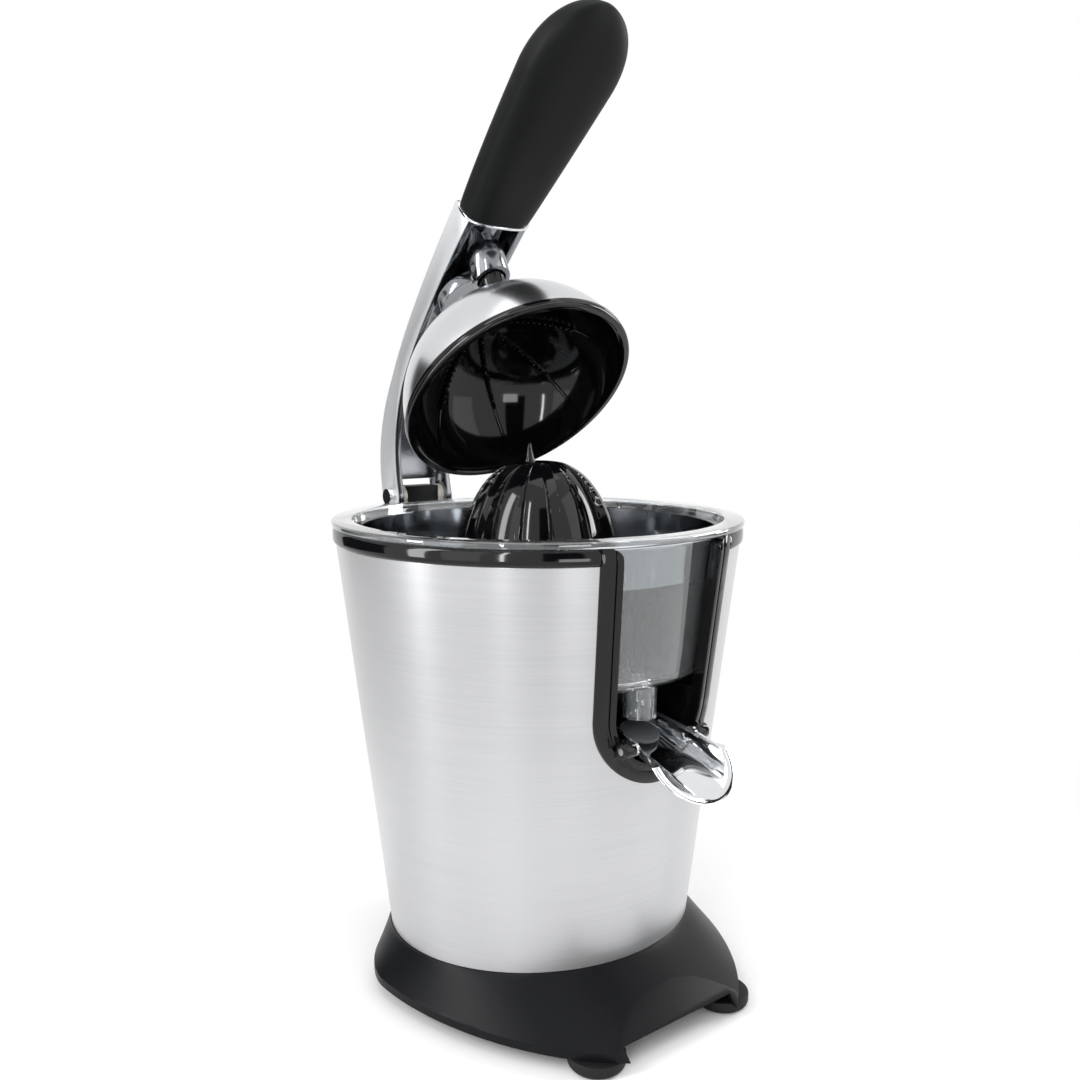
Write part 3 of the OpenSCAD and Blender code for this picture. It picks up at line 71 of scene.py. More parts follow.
# Studio: a white paper floor that fades into the white room, soft boxes and strip lights round the
# front, and dark cards between them. The cards keep the black mouldings black and draw grey bands
# beside the white ones on the metals.
floor_half = 1.5
floor_solid_r = 0.16
floor_clear_r = 0.42
lamp_rows = [
    # name, place, width, height, watts
    ("left_softbox", (-1.25, -0.30, 0.55), 0.5, 1.3, 1.6),
    ("left_strip", (-1.18, 0.24, 0.60), 0.24, 1.3, 10.0),
    ("front_strip", (-1.02, -0.72, 0.60), 0.05, 1.3, 4.5),
    ("low_softbox", (-0.38, -1.12, 0.10), 0.32, 0.18, 1.1),
    ("right_softbox", (0.75, -1.05, 0.62), 0.6, 1.2, 1.7),
    ("right_strip", (1.12, -0.30, 0.55), 0.30, 0.9, 7.5),
    ("top_softbox", (0.05, -0.10, 1.45), 1.0, 1.0, 2.6),
]
lamp_aim = (0.0, 0.0, 0.16)
card_rows = [
    # name, centre, width, height
    ("card_front", (-0.60, -1.35, 0.70), 0.55, 1.4),
    ("card_right", (1.30, -0.55, 0.75), 0.7, 1.5),
    ("card_left", (-0.70, 0.98, 0.34), 0.95, 0.7),
]
room_light = 0.88


def linear(code):
    """An sRGB hex colour as the linear colour that shaders take."""
    parts = [int(code[i:i + 2], 16) / 255 for i in (1, 3, 5)]
    return [c / 12.92 if c <= 0.04045 else ((c + 0.055) / 1.055) ** 2.4 for c in parts] + [1.0]


def add(tree, kind, inputs=None, **settings):
    """Adds one node, sets it, and joins its inputs to values or to other nodes' outputs."""
    node = tree.nodes.new(kind)
    for name, value in settings.items():
        setattr(node, name, value)
    for name, value in (inputs or {}).items():
        if isinstance(value, bpy.types.NodeSocket):
            tree.links.new(value, node.inputs[name])
        else:
            node.inputs[name].default_value = value
    return node


def shader_of(look):
    """The one Principled shader of a material."""
    return look.node_tree.nodes["Principled BSDF"]


def finish(name, colour, roughness, metallic=0.0):
    """A material with one Principled shader whose even values are set on its own sockets."""
    made = bpy.data.materials.new(name)
    made.use_nodes = True
    shader = shader_of(made)
    shader.inputs["Base Color"].default_value = linear(colour)
    shader.inputs["Roughness"].default_value = roughness
    shader.inputs["Metallic"].default_value = metallic
    return made


def grain(look, size, stretch=(1, 1, 1), tones=None, gloss=None, depth=0.0, detail=2.0):
    """Noise in the piece's own coordinates that drives tone, roughness and relief.

    size is one grain in metres, and a stretch above 1 packs the grains closer along that axis.
    """
    tree = look.node_tree
    shader = shader_of(look)
    spot = add(tree, "ShaderNodeTexCoord").outputs["Object"]
    packed = add(tree, "ShaderNodeMapping", {"Vector": spot, "Scale": stretch}).outputs["Vector"]
    noise = add(tree, "ShaderNodeTexNoise", {"Vector": packed, "Scale": 1 / size, "Detail": detail})
    level = noise.outputs["Fac"]
    if tones:
        # Sockets 6 and 7 are the Mix node's two colours, and its output 2 is the colour between them.
        mixed = add(tree, "ShaderNodeMix", {0: level, 6: linear(tones[0]), 7: linear(tones[1])},
                    data_type="RGBA")
        tree.links.new(mixed.outputs[2], shader.inputs["Base Color"])
    if gloss:
        spread = add(tree, "ShaderNodeMapRange", {"Value": level, "To Min": gloss[0], "To Max": gloss[1]})
        tree.links.new(spread.outputs["Result"], shader.inputs["Roughness"])
    if depth:
        relief = add(tree, "ShaderNodeBump", {"Height": level, "Distance": depth})
        if shader.inputs["Normal"].is_linked:
            tree.links.new(shader.inputs["Normal"].links[0].from_socket, relief.inputs["Normal"])
        tree.links.new(relief.outputs["Normal"], shader.inputs["Normal"])
    return look


def flat_sheet(name, width, height, look):
    """A rectangle about the origin in its own XY plane."""
    mesh = bpy.data.meshes.new(name)
    corners = [(-width / 2, -height / 2, 0), (width / 2, -height / 2, 0),
               (width / 2, height / 2, 0), (-width / 2, height / 2, 0)]
    mesh.from_pydata(corners, [], [(0, 1, 2, 3)])
    mesh.materials.append(look)
    sheet = bpy.data.objects.new(name, mesh)
    bpy.context.scene.collection.objects.link(sheet)
    return sheet


def facing(place, aim):
    """The turn that makes an object's -Z look from place at aim."""
    return (Vector(aim) - Vector(place)).to_track_quat("-Z", "Y").to_euler()


# Matt paper: no shine, so only the shadow shows on it.
paper = grain(finish("matt_white_studio_paper", "#f4f4f4", roughness=0.9),
              size=60 * mm, tones=("#f2f2f2", "#f6f6f6"))
tree = paper.node_tree
spot = add(tree, "ShaderNodeTexCoord").outputs["Object"]
away = add(tree, "ShaderNodeVectorMath", {0: spot}, operation="LENGTH").outputs["Value"]
fade = add(tree, "ShaderNodeMapRange", {"Value": away, "From Min": floor_solid_r, "From Max": floor_clear_r,
                                        "To Min": 1.0, "To Max": 0.0}, interpolation_type="SMOOTHERSTEP")
tree.links.new(fade.outputs["Result"], shader_of(paper).inputs["Alpha"])
flat_sheet("floor", 2 * floor_half, 2 * floor_half, paper)

# Matt card: almost no shine, and hidden from the camera, so it shows only as dark bands on the piece.
black_card = grain(finish("matt_black_card", "#060607", roughness=0.95),
                   size=40 * mm, tones=("#050506", "#09090a"))
for name, place, width, height in card_rows:
    card = flat_sheet(name, width, height, black_card)
    card.location = place
    card.rotation_euler = facing(place, (lamp_aim[0], lamp_aim[1], place[2]))
    card.visible_camera = False

for name, place, width, height, watts in lamp_rows:
    light = bpy.data.lights.new(name, "AREA")
    light.shape = "RECTANGLE"
    light.size = width
    light.size_y = height
    light.energy = watts
    lamp = bpy.data.objects.new(name, light)
    lamp.location = place
    lamp.rotation_euler = facing(place, lamp_aim)
    bpy.context.scene.collection.objects.link(lamp)

room = bpy.data.worlds.new("white_room")
bpy.context.scene.world = room
room.use_nodes = True
tree = room.node_tree
path = add(tree, "ShaderNodeLightPath")
seen = add(tree, "ShaderNodeMath", {0: path.outputs["Is Camera Ray"], 1: path.outputs["Is Glossy Ray"]},
           operation="ADD")
through = add(tree, "ShaderNodeMath", {0: seen.outputs[0], 1: path.outputs["Is Transmission Ray"]},
              operation="ADD", use_clamp=True)
strength = add(tree, "ShaderNodeMapRange", {
    "Value": through.outputs[0], "To Min": room_light, "To Max": 1.0})
tree.nodes["Background"].inputs["Color"].default_value = (1, 1, 1, 1)
tree.links.new(strength.outputs["Result"], tree.nodes["Background"].inputs["Strength"])


# Feet: four round pads of black rubber, moulded with a rounded edge and a shallow hollow under them,
# each pushed by its stem into a boss of the base plate.
foot_r = 12.1 * mm
foot_round = 2.4 * mm
foot_h = 5.5 * mm
foot_stem_r = 2.9 * mm
foot_stem_h = 4 * mm
foot_hollow_r = 7.5 * mm
foot_hollow_slope = 0.5 * mm
foot_hollow_h = 0.4 * mm
foot_collar_w = 0.6 * mm
fine = 128
seam_gap = 0.5e-6


def arc(centre, radius, start, end, steps):
    """Points on an arc about centre, angles in degrees."""
    turns = [radians(start + (end - start) * i / steps) for i in range(steps + 1)]
    return [(centre[0] + radius * cos(a), centre[1] + radius * sin(a)) for a in turns]


def shaded(mesh, sharp):
    """Smooth shading that leaves edges above sharp degrees crisp."""
    mesh.shade_smooth()
    mesh.set_sharp_from_angle(angle=radians(sharp))
    return mesh


def turned(name, profile, steps=fine, sharp=35, matrix=None, closed=True):
    """A mesh turned about Z from points (radius, height); a closed profile makes a solid ring."""
    work = bmesh.new()
    rings = []
    for i in range(steps):
        a = 2 * pi * i / steps
        rings.append([work.verts.new((r * cos(a), r * sin(a), z)) for r, z in profile])
    count = len(profile)
    for i in range(steps):
        here, there = rings[i], rings[(i + 1) % steps]
        for j in range(count if closed else count - 1):
            k = (j + 1) % count
            work.faces.new((here[j], there[j], there[k], here[k]))
    bmesh.ops.remove_doubles(work, verts=work.verts, dist=seam_gap)
    bmesh.ops.dissolve_degenerate(work, edges=work.edges, dist=seam_gap)
    bmesh.ops.recalc_face_normals(work, faces=work.faces)
    mesh = bpy.data.meshes.new(name)
    work.to_mesh(mesh)
    work.free()
    if matrix:
        mesh.transform(matrix)
    return shaded(mesh, sharp)


def piece(name, mesh, look, body, slot, *stands_for):
    """Puts a finished mesh in the scene with its material, hangs it on the body it rides, and hides the
    nodes it stands for.
    """
    made = bpy.data.objects.new(name, mesh)
    bpy.context.scene.collection.objects.link(made)
    mesh.materials.clear()
    mesh.materials.append(look)
    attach(made, body)
    if stands_for:
        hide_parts(*stands_for)
    return made


# Moulded rubber: dull and even; its fine grain is drawn at 0.8 mm so that it shows.
rubber = grain(finish("moulded_black_rubber", "#0c0d0e", roughness=0.62),
               size=0.8 * mm, tones=("#090a0b", "#101112"), gloss=(0.52, 0.72), depth=0.02 * mm)
shader_of(rubber).inputs["Specular IOR Level"].default_value = 0.3
foot_profile = (
    [(0, foot_hollow_h), (foot_hollow_r - foot_hollow_slope, foot_hollow_h), (foot_hollow_r, 0)]
    + arc((foot_r - foot_round, foot_round), foot_round, -90, 0, 10)
    + [(foot_r, foot_h - foot_collar_w)]
    + arc((foot_r - foot_collar_w, foot_h - foot_collar_w), foot_collar_w, 0, 90, 4)
    + [(foot_stem_r, foot_h), (foot_stem_r, foot_h + foot_stem_h), (0, foot_h + foot_stem_h)])
for corner in ("front_left", "front_right", "rear_left", "rear_right"):
    low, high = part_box("foot_" + corner)
    middle = (low + high) / 2
    foot_mesh = turned("rubber_" + corner, foot_profile, matrix=Matrix.Translation((middle.x, middle.y, 0)))
    piece("rubber_" + corner, foot_mesh, rubber, "base_body", "rubber", "foot_" + corner)


# Base: one black ABS moulding that flares from the steel body's edge out to the feet. Its skin is
# spark-textured satin. Its front is cut to a slope, with a low notch under it between the front feet.
base_half_w = 83.9 * mm
base_front = 120.5 * mm
base_rear = 60 * mm
base_centre_y = 5.6 * mm
base_full_share = 1.767
base_cut_y = 102.65 * mm
base_cut_rise = 10
base_cut_run = 10.25
base_rim_h = 3.6 * mm
base_neck_lap = 0.4 * mm
base_wall = 2.6 * mm
flare_bulge_share = 0.01
flare_drop_share = 0.11
recess_half_w = 31 * mm
recess_rise = 4.5 * mm
recess_front_y = 94 * mm
body_top_r = 93 * mm
body_bottom_r = 71.7 * mm
body_top_z = 204 * mm
body_bottom_z = 23 * mm
body_tilt = 4.3
base_edge = 0.5 * mm
base_edge_angle = 38
cut_past = 1 * mm
base_sides = 192
base_steps = 24


def rounded(value, power):
    """A signed power, which squares the corners of a circle's sine and cosine."""
    return math.copysign(abs(value) ** power, value)


def bezier(a, b, c, t):
    """A quadratic curve through a and c, drawn towards b."""
    return a * (1 - t) ** 2 + b * 2 * t * (1 - t) + c * t * t


def base_outline(a, inset):
    """The base's lowest outline at angle a in degrees."""
    reach = (base_front if sin(radians(a)) < 0 else base_rear) - inset
    return ((base_half_w - inset) * rounded(cos(radians(a)), 2 / base_full_share),
            base_centre_y + reach * rounded(sin(radians(a)), 2 / base_full_share))


def flare_point(a, share, inset):
    """A point on the flare, from the steel's edge at share 0 to the rim at share 1."""
    reach = bezier(0, flare_bulge_share, 1, share)
    fall = bezier(0, flare_drop_share, 1, share)
    neck_r = body_bottom_r + base_neck_lap - inset
    neck = (neck_r * cos(radians(a)), neck_r * sin(radians(a)))
    low = base_outline(a, inset)
    neck_z = body_bottom_z - math.tan(radians(body_tilt)) * neck[1]
    return (neck[0] + (low[0] - neck[0]) * reach, neck[1] + (low[1] - neck[1]) * reach,
            neck_z + (foot_h + base_rim_h - neck_z) * fall)


def lofted(work, rings, capped=True):
    """Adds a skin over rings of points to the mesh in work, with flat caps at its ends."""
    made = [[work.verts.new(p) for p in ring] for ring in rings]
    count = len(rings[0])
    for lower, upper in zip(made, made[1:]):
        for j in range(count):
            k = (j + 1) % count
            work.faces.new((lower[j], lower[k], upper[k], upper[j]))
    if capped:
        work.faces.new(list(reversed(made[0])))
        work.faces.new(made[-1])
    return work


def mesh_from(work, name, sharp=35):
    """Closes the bmesh in work into a mesh with outward faces."""
    bmesh.ops.recalc_face_normals(work, faces=work.faces)
    mesh = bpy.data.meshes.new(name)
    work.to_mesh(mesh)
    work.free()
    return shaded(mesh, sharp)


def worked(name, mesh, *modifiers):
    """The mesh after modifiers, each given as (kind, settings), with the carrier removed."""
    carrier = bpy.data.objects.new(name, mesh)
    bpy.context.scene.collection.objects.link(carrier)
    for kind, settings in modifiers:
        modifier = carrier.modifiers.new(kind, kind)
        for key, value in settings.items():
            setattr(modifier, key, value)
    bpy.context.view_layer.update()
    depsgraph = bpy.context.evaluated_depsgraph_get()
    result = bpy.data.meshes.new_from_object(carrier.evaluated_get(depsgraph))
    result.name = name
    bpy.data.objects.remove(carrier)
    return result


def cutter(name, mesh):
    """An object that a boolean modifier can use."""
    made = bpy.data.objects.new(name, mesh)
    bpy.context.scene.collection.objects.link(made)
    return made


def without(name, mesh, *cutters):
    """The mesh less the cutters, which are removed after the cut."""
    cuts = [("BOOLEAN", {"object": c, "operation": "DIFFERENCE", "solver": "EXACT"}) for c in cutters]
    result = worked(name, mesh, *cuts)
    for c in cutters:
        bpy.data.objects.remove(c)
    return result


def flare(inset, extra):
    """The flared solid, cut off by the sloping front face, moved in by inset."""
    angles = [360 * j / base_sides for j in range(base_sides)]
    rings = [[(*base_outline(a, inset), foot_h - extra) for a in angles]]
    rings += [[flare_point(a, i / base_steps, inset) for a in angles] for i in range(base_steps, -1, -1)]
    if extra:
        rings.append([(p[0], p[1], p[2] + extra) for p in rings[-1]])
    work = lofted(bmesh.new(), rings)
    slope = math.atan(base_cut_run / base_cut_rise)
    cut = bmesh.ops.bisect_plane(
        work, geom=work.verts[:] + work.edges[:] + work.faces[:],
        plane_co=(0, -base_cut_y + inset, foot_h), plane_no=(0, -cos(slope), sin(slope)), clear_outer=True)
    rim = [e for e in cut["geom_cut"] if isinstance(e, bmesh.types.BMEdge)]
    bmesh.ops.contextual_create(work, geom=rim)
    return mesh_from(work, "flare")


def block(name, low, high):
    """A box between two corners, for cutting."""
    work = bmesh.new()
    corners = [[(x, y, z) for x, y in ((low[0], low[1]), (high[0], low[1]), (high[0], high[1]),
                                       (low[0], high[1]))] for z in (low[2], high[2])]
    return cutter(name, mesh_from(lofted(work, corners), name))


# Spark-textured ABS: satin black, with a fine pebble drawn at 0.7 mm so that it shows.
base_black = grain(finish("spark_textured_black_abs", "#0b0c0e", roughness=0.36),
                   size=0.7 * mm, tones=("#090a0c", "#101114"), gloss=(0.3, 0.44), depth=0.035 * mm,
                   detail=3.0)
shader_of(base_black).inputs["Specular IOR Level"].default_value = 0.13
hollow = cutter("base_hollow", flare(base_wall, cut_past))
notch = block("base_notch", (-recess_half_w, -base_front, foot_h - cut_past),
              (recess_half_w, -recess_front_y, foot_h + recess_rise))
base_mesh = without("base_moulding", flare(0, 0), notch, hollow)
base_mesh = worked("base_moulding", base_mesh, ("BEVEL", {
    "width": base_edge, "segments": 3, "limit_method": "ANGLE", "angle_limit": radians(base_edge_angle)}))
piece("base_moulding", shaded(base_mesh, sharp=40), base_black, "base_body", "base_black", "base_skirt")


# Steel body: 0.8 mm stainless sheet, rolled to a cone and seam-welded at the rear, with the window
# cut out of it. It is brushed round the body, so its reflections run up and down in soft bands.
weld = 3e-6
flat_tolerance = 0.4
sheet_edge = 0.12 * mm
soft_shading = 32
wall_match = 0.97


def softened(node, edge, sharp=30, sides=2):
    """A merged copy of a CAD node's mesh with its edges rounded by edge metres."""
    work = bmesh.new()
    work.from_mesh(nodes[node].data)
    bmesh.ops.remove_doubles(work, verts=work.verts, dist=weld)
    bmesh.ops.dissolve_limit(work, angle_limit=radians(flat_tolerance), verts=work.verts, edges=work.edges)
    mesh = bpy.data.meshes.new(node + "_merged")
    work.to_mesh(mesh)
    work.free()
    for layer in [a.name for a in mesh.attributes if "normal" in a.name]:
        mesh.attributes.remove(mesh.attributes[layer])
    if edge:
        mesh = worked(node + "_soft", mesh, ("BEVEL", {
            "width": edge, "segments": sides, "limit_method": "ANGLE", "angle_limit": radians(sharp)}))
    return shaded(mesh, soft_shading)


def cone_shaded(mesh):
    """Gives the sheet's faces the exact normals of the rolled cone, so its reflections run smoothly."""
    slope = math.atan((body_top_r - body_bottom_r) / (body_top_z - body_bottom_z))
    normals = []
    for face in mesh.polygons:
        for corner in face.loop_indices:
            spot = mesh.vertices[mesh.loops[corner].vertex_index].co
            out = Vector((spot.x, spot.y, 0)).normalized() * cos(slope)
            out.z = -sin(slope)
            along = face.normal.dot(out)
            if abs(along) > wall_match:
                normals.append(out * math.copysign(1, along))
            else:
                normals.append(Vector((0, 0, 0)))
    mesh.normals_split_custom_set(normals)
    return mesh


# Brushed sheet: fine lines round the body, drawn about 0.5 mm apart so that they show.
steel = grain(finish("brushed_stainless_sheet", "#c4c4c6", roughness=0.3, metallic=1.0),
              size=50 * mm, stretch=(1, 1, 110), tones=("#bbbcbe", "#cccccd"), gloss=(0.26, 0.34),
              detail=4.0)
tree = steel.node_tree
around_z = add(tree, "ShaderNodeTangent", direction_type="RADIAL", axis="Z")
tree.links.new(around_z.outputs["Tangent"], shader_of(steel).inputs["Tangent"])
shader_of(steel).inputs["Anisotropic"].default_value = 0.6
shader_of(steel).inputs["Anisotropic Rotation"].default_value = 0.25
piece("steel_body", cone_shaded(softened("body_shell", sheet_edge)), steel, "base_body", "steel",
      "body_shell")


# Collar and window frame: glossy black ABS mouldings that clip over the steel's edge and round
# the window. The frame has a groove along its inner side and rounded corners at the top.
collar_edge = 0.7 * mm
frame_edge = 0.28 * mm
# ABS from a polished tool: deep black with clear, slightly wavy reflections.
gloss_black = grain(finish("polished_black_abs", "#08080a", roughness=0.08),
                    size=6 * mm, tones=("#060608", "#0b0b0d"), gloss=(0.05, 0.1), depth=0.003 * mm)
shader_of(gloss_black).inputs["Specular IOR Level"].default_value = 0.4
piece("collar", softened("top_collar", collar_edge, sides=3), gloss_black, "base_body", "gloss_black",
      "top_collar")
piece("window_frame", softened("window_bezel", frame_edge), gloss_black, "base_body", "gloss_black",
      "window_bezel")
piece("spout_well", softened("spout_recess", frame_edge), gloss_black, "base_body", "gloss_black",
      "spout_recess")


# Juice collector: clear injection-moulded SAN, 2.2 mm thick, with a flat lip that rests on the collar
# and an outlet spigot over the spout. Its polished skin mirrors the room at a low angle, and the lip is
# a little duller, where the mould is worn.
collector_edge = 0.4 * mm
lip_low_z = 210.9 * mm
lip_blend = 0.3 * mm
wall_rough = 0.03
lip_rough = 0.08
# Clear SAN from a polished tool: it bends what is behind it and shows bright edges.
clear = finish("clear_san", "#f4f8fa", roughness=wall_rough)
clear_shader = shader_of(clear)
clear_shader.inputs["Transmission Weight"].default_value = 0.95
clear_shader.inputs["Coat Weight"].default_value = 1.0
clear_shader.inputs["Coat Roughness"].default_value = 0.02
clear_shader.inputs["IOR"].default_value = 1.5
grain(clear, size=30 * mm, tones=("#eef4f7", "#f8fbfc"))
tree = clear.node_tree
spot = add(tree, "ShaderNodeTexCoord").outputs["Object"]
height = add(tree, "ShaderNodeSeparateXYZ", {0: spot}).outputs["Z"]
matt = add(tree, "ShaderNodeMapRange", {
    "Value": height, "From Min": lip_low_z, "From Max": lip_low_z + lip_blend,
    "To Min": wall_rough, "To Max": lip_rough})
tree.links.new(matt.outputs["Result"], clear_shader.inputs["Roughness"])
piece("clear_collector", softened("juice_collector", collector_edge), clear, "base_body", "clear",
      "juice_collector")


# Sieve: pressed 0.9 mm stainless sheet with pierced slots, which hangs by its rim inside the
# collector. It is polished, and its colour is painted darker than the brushed body's as shade inside the
# collector, with long upright streaks of painted reflection in its tone.
sieve_steel = grain(finish("polished_stainless_sieve", "#8b8e91", roughness=0.1, metallic=1.0),
                    size=8 * mm, stretch=(1, 1, 0.3), tones=("#838689", "#95989b"), gloss=(0.06, 0.13),
                    depth=0.004 * mm)
piece("sieve_basket", softened("sieve", 0), sieve_steel, "base_body", "sieve_steel", "sieve")


# Reamer cone: one gloss black ABS moulding, pushed on the drive shaft. Six broad fins and six narrow
# ones stand on its core, and a small point at its top holds the fruit in place.
cone_foot_z = 186 * mm
cone_r = 38.5 * mm
cone_h = 53 * mm
cone_top_r = 6 * mm
cone_power = 2.05
cone_wall = 2.4 * mm
cone_core_share = 0.86
cone_turn = 7
# First angle, share of the cone's radius, and half the thickness.
fin_rows = ((0, 1.0, 2.2 * mm), (30, 0.94, 1.2 * mm))
fin_pitch = 60
fin_round = 0.55 * mm
fin_root = 1.3 * mm
cone_columns = 720
cone_rows = 56
inside_skip = 7
least_sine = 1e-6
hub_r = 7.4 * mm
hub_bore_r = 4 * mm
hub_low = -2 * mm
hub_high = 24 * mm
point_turn = 143
point_side = 4 * mm
point_profile = [(0, 61.8 * mm), (0.5 * mm, 61.6 * mm), (0.9 * mm, 60.6 * mm), (1.4 * mm, 57.5 * mm),
                 (2.2 * mm, 54.5 * mm), (3.5 * mm, 51.5 * mm), (3.6 * mm, 48 * mm), (0, 48 * mm)]


def cone_width(share, t):
    """The cone's radius at height share t, for a core or fin of this share of the full radius."""
    return cone_top_r + (cone_r * share - cone_top_r) * (1 - t ** cone_power) ** (1 / cone_power)


def blended(a, b, soft):
    """The larger of a and b, with a fillet of about soft where they meet."""
    return (a + b + math.sqrt((a - b) ** 2 + soft * soft)) / 2


def fin_reach(angle, t):
    """The surface radius at an angle, where fins stand out of the core with rounded crests."""
    reach = cone_width(cone_core_share, t)
    for start, share, half_t in fin_rows:
        off = abs((angle - start + fin_pitch / 2) % fin_pitch - fin_pitch / 2)
        side = half_t / max(sin(radians(off)), least_sine)
        crest = cone_width(share, t)
        fin = -blended(-crest, -side, fin_round)
        reach = blended(reach, min(fin, crest), fin_root)
    return min(reach, cone_width(1.0, t))


def joined(name, meshes, sharp=35):
    """One mesh from several closed ones."""
    work = bmesh.new()
    for mesh in meshes:
        work.from_mesh(mesh)
    return mesh_from(work, name, sharp)


def on_column(radius, j, z):
    """A point of the cone's skin at its column j."""
    a = 2 * pi * j / cone_columns
    return (radius * cos(a), radius * sin(a), z)


levels = [sin(pi / 2 * i / cone_rows) for i in range(cone_rows)]
outside = [[on_column(fin_reach(360 * j / cone_columns, t), j, cone_h * t)
            for j in range(cone_columns)] for t in levels]
inside = [[on_column(cone_width(cone_core_share, t) - cone_wall, j, (cone_h - cone_wall) * t)
           for j in range(cone_columns)] for t in levels[::inside_skip]]
cone_skin = mesh_from(lofted(bmesh.new(), inside[::-1] + outside), "cone_skin")
cone_hub = turned("cone_hub", [(hub_bore_r, hub_low), (hub_r, hub_low), (hub_r, hub_high),
                               (hub_bore_r, hub_high)])
cone_point = turned("cone_point", point_profile, steps=48, sharp=60, matrix=Matrix.Rotation(
    radians(point_turn - cone_turn), 4, "Z") @ Matrix.Translation((point_side, 0, 0)))
cone_mesh = joined("ribbed_cone", [cone_skin, cone_hub, cone_point], sharp=50)
cone_mesh.transform(Matrix.Translation((0, 0, cone_foot_z)) @ Matrix.Rotation(radians(cone_turn), 4, "Z"))
piece("ribbed_cone", cone_mesh, gloss_black, "reamer_body", "gloss_black", "reamer_cone")


# Hinge block and lever: the block is a black ABS moulding screwed to the body, and the lever a zinc
# casting with two cheeks and a web, linished on its cheeks and left bright in its channel, which is
# painted darker as shade.
cast_edge = 0.5 * mm
ferrule_edge = 0.15 * mm
cheek_low_x = 16.3 * mm
cheek_high_x = 16.7 * mm
back_from = 0.5
back_full = 0.6
back_share = 0.45
# The channel's grey is painted shade: a darker tone for the channel between the cheeks.
channel_painted_shade_grey = "#8d8f93"
cheek_grey = "#dcdee0"
channel_rough = 0.16
cheek_rough = 0.46
# Die-cast zinc: pale and satin where it is linished, and shiny where it is left as cast; there, in the
# channel between the cheeks, its colour is painted darker as shade.
cast_metal = grain(finish("satin_die_cast_zinc", "#cbcdcf", roughness=0.38, metallic=1.0),
                   size=1.5 * mm, depth=0.004 * mm)
tree = cast_metal.node_tree
spot = add(tree, "ShaderNodeTexCoord")
side = add(tree, "ShaderNodeSeparateXYZ", {0: spot.outputs["Object"]}).outputs["X"]
away = add(tree, "ShaderNodeMath", {0: side}, operation="ABSOLUTE").outputs[0]
cheek = add(tree, "ShaderNodeMapRange", {
    "Value": away, "From Min": cheek_low_x, "From Max": cheek_high_x}).outputs["Result"]
rearward = add(tree, "ShaderNodeSeparateXYZ", {0: spot.outputs["Normal"]}).outputs["Y"]
back = add(tree, "ShaderNodeMapRange", {
    "Value": rearward, "From Min": back_from, "From Max": back_full, "To Max": back_share})
linish_and_shade_mask = add(tree, "ShaderNodeMath", {0: cheek, 1: back.outputs["Result"]},
               operation="MAXIMUM").outputs["Value"]
dull = add(tree, "ShaderNodeMapRange", {
    "Value": linish_and_shade_mask, "To Min": channel_rough, "To Max": cheek_rough}).outputs["Result"]
tree.links.new(dull, shader_of(cast_metal).inputs["Roughness"])
# Painted shade: the colour darkens from the cheek grey to the channel grey where the mask falls.
mixed = add(tree, "ShaderNodeMix", {0: linish_and_shade_mask, 6: linear(channel_painted_shade_grey), 7: linear(cheek_grey)},
            data_type="RGBA")
tree.links.new(mixed.outputs[2], shader_of(cast_metal).inputs["Base Color"])
# Chrome on a polished base: a clear mirror with a cold tone.
chrome = grain(finish("bright_chrome_plate", "#e4e5e7", roughness=0.06, metallic=1.0),
               size=10 * mm, tones=("#dedfe2", "#e9eaec"), gloss=(0.03, 0.1), depth=0.004 * mm)
piece("hinge_block_soft", softened("hinge_block", cast_edge), base_black, "base_body", "base_black",
      "hinge_block")
piece("lever", softened("arm", cast_edge), cast_metal, "arm_body", "cast_metal", "arm")
piece("ferrule", softened("grip_ferrule", ferrule_edge), chrome, "arm_body", "chrome", "grip_ferrule")


# Dome: spun stainless sheet over a gloss black ABS liner, held together by a black rim that is
# pressed over both. It hangs on a pin in the lever's nose.
dome_centre = (0, 12.4 * mm, 268.4 * mm)
dome_lean = -44.2
dome_place = Matrix.Translation(dome_centre) @ Matrix.Rotation(radians(dome_lean), 4, "X")
dome_r = 57 * mm
dome_depth = 52.5 * mm
dome_wall = 1.2 * mm
dome_power = 1.9
dome_steps = 64
dome_sides = 192
rim_h = 4.6 * mm
rim_w = 3.6 * mm
rim_round = 1.4 * mm
rim_groove = 0.35 * mm
rim_chamfer = 0.5 * mm
rim_lap = 0.05 * mm
rim_lap_h = 0.4 * mm
liner_wall = 1.8 * mm
liner_gap = 0.1 * mm


def dome_curve(r, h, steps=dome_steps, end=90):
    """The dome's outline from its rim up to its crown."""
    turns = [radians(end * i / steps) for i in range(steps + 1)]
    return [(r * max(cos(a), 0) ** (2 / dome_power), rim_h / 2 + h * sin(a) ** (2 / dome_power))
            for a in turns]


# Spun and polished sheet: bright, with soft-edged reflections.
dome_steel = grain(finish("spun_stainless_dome", "#d2d3d5", roughness=0.22, metallic=1.0),
                   size=25 * mm, tones=("#cacbce", "#dbdcde"), gloss=(0.17, 0.28), depth=0.004 * mm)
shell_r = dome_r - rim_w / 3
shell_h = dome_depth - rim_h / 2
shell_profile = dome_curve(shell_r, shell_h) + dome_curve(shell_r - dome_wall, shell_h - dome_wall)[::-1]
dome_mesh = turned("dome_cap", shell_profile, steps=dome_sides, matrix=dome_place)
piece("dome_cap", dome_mesh, dome_steel, "dome_body", "dome_steel", "dome_shell")

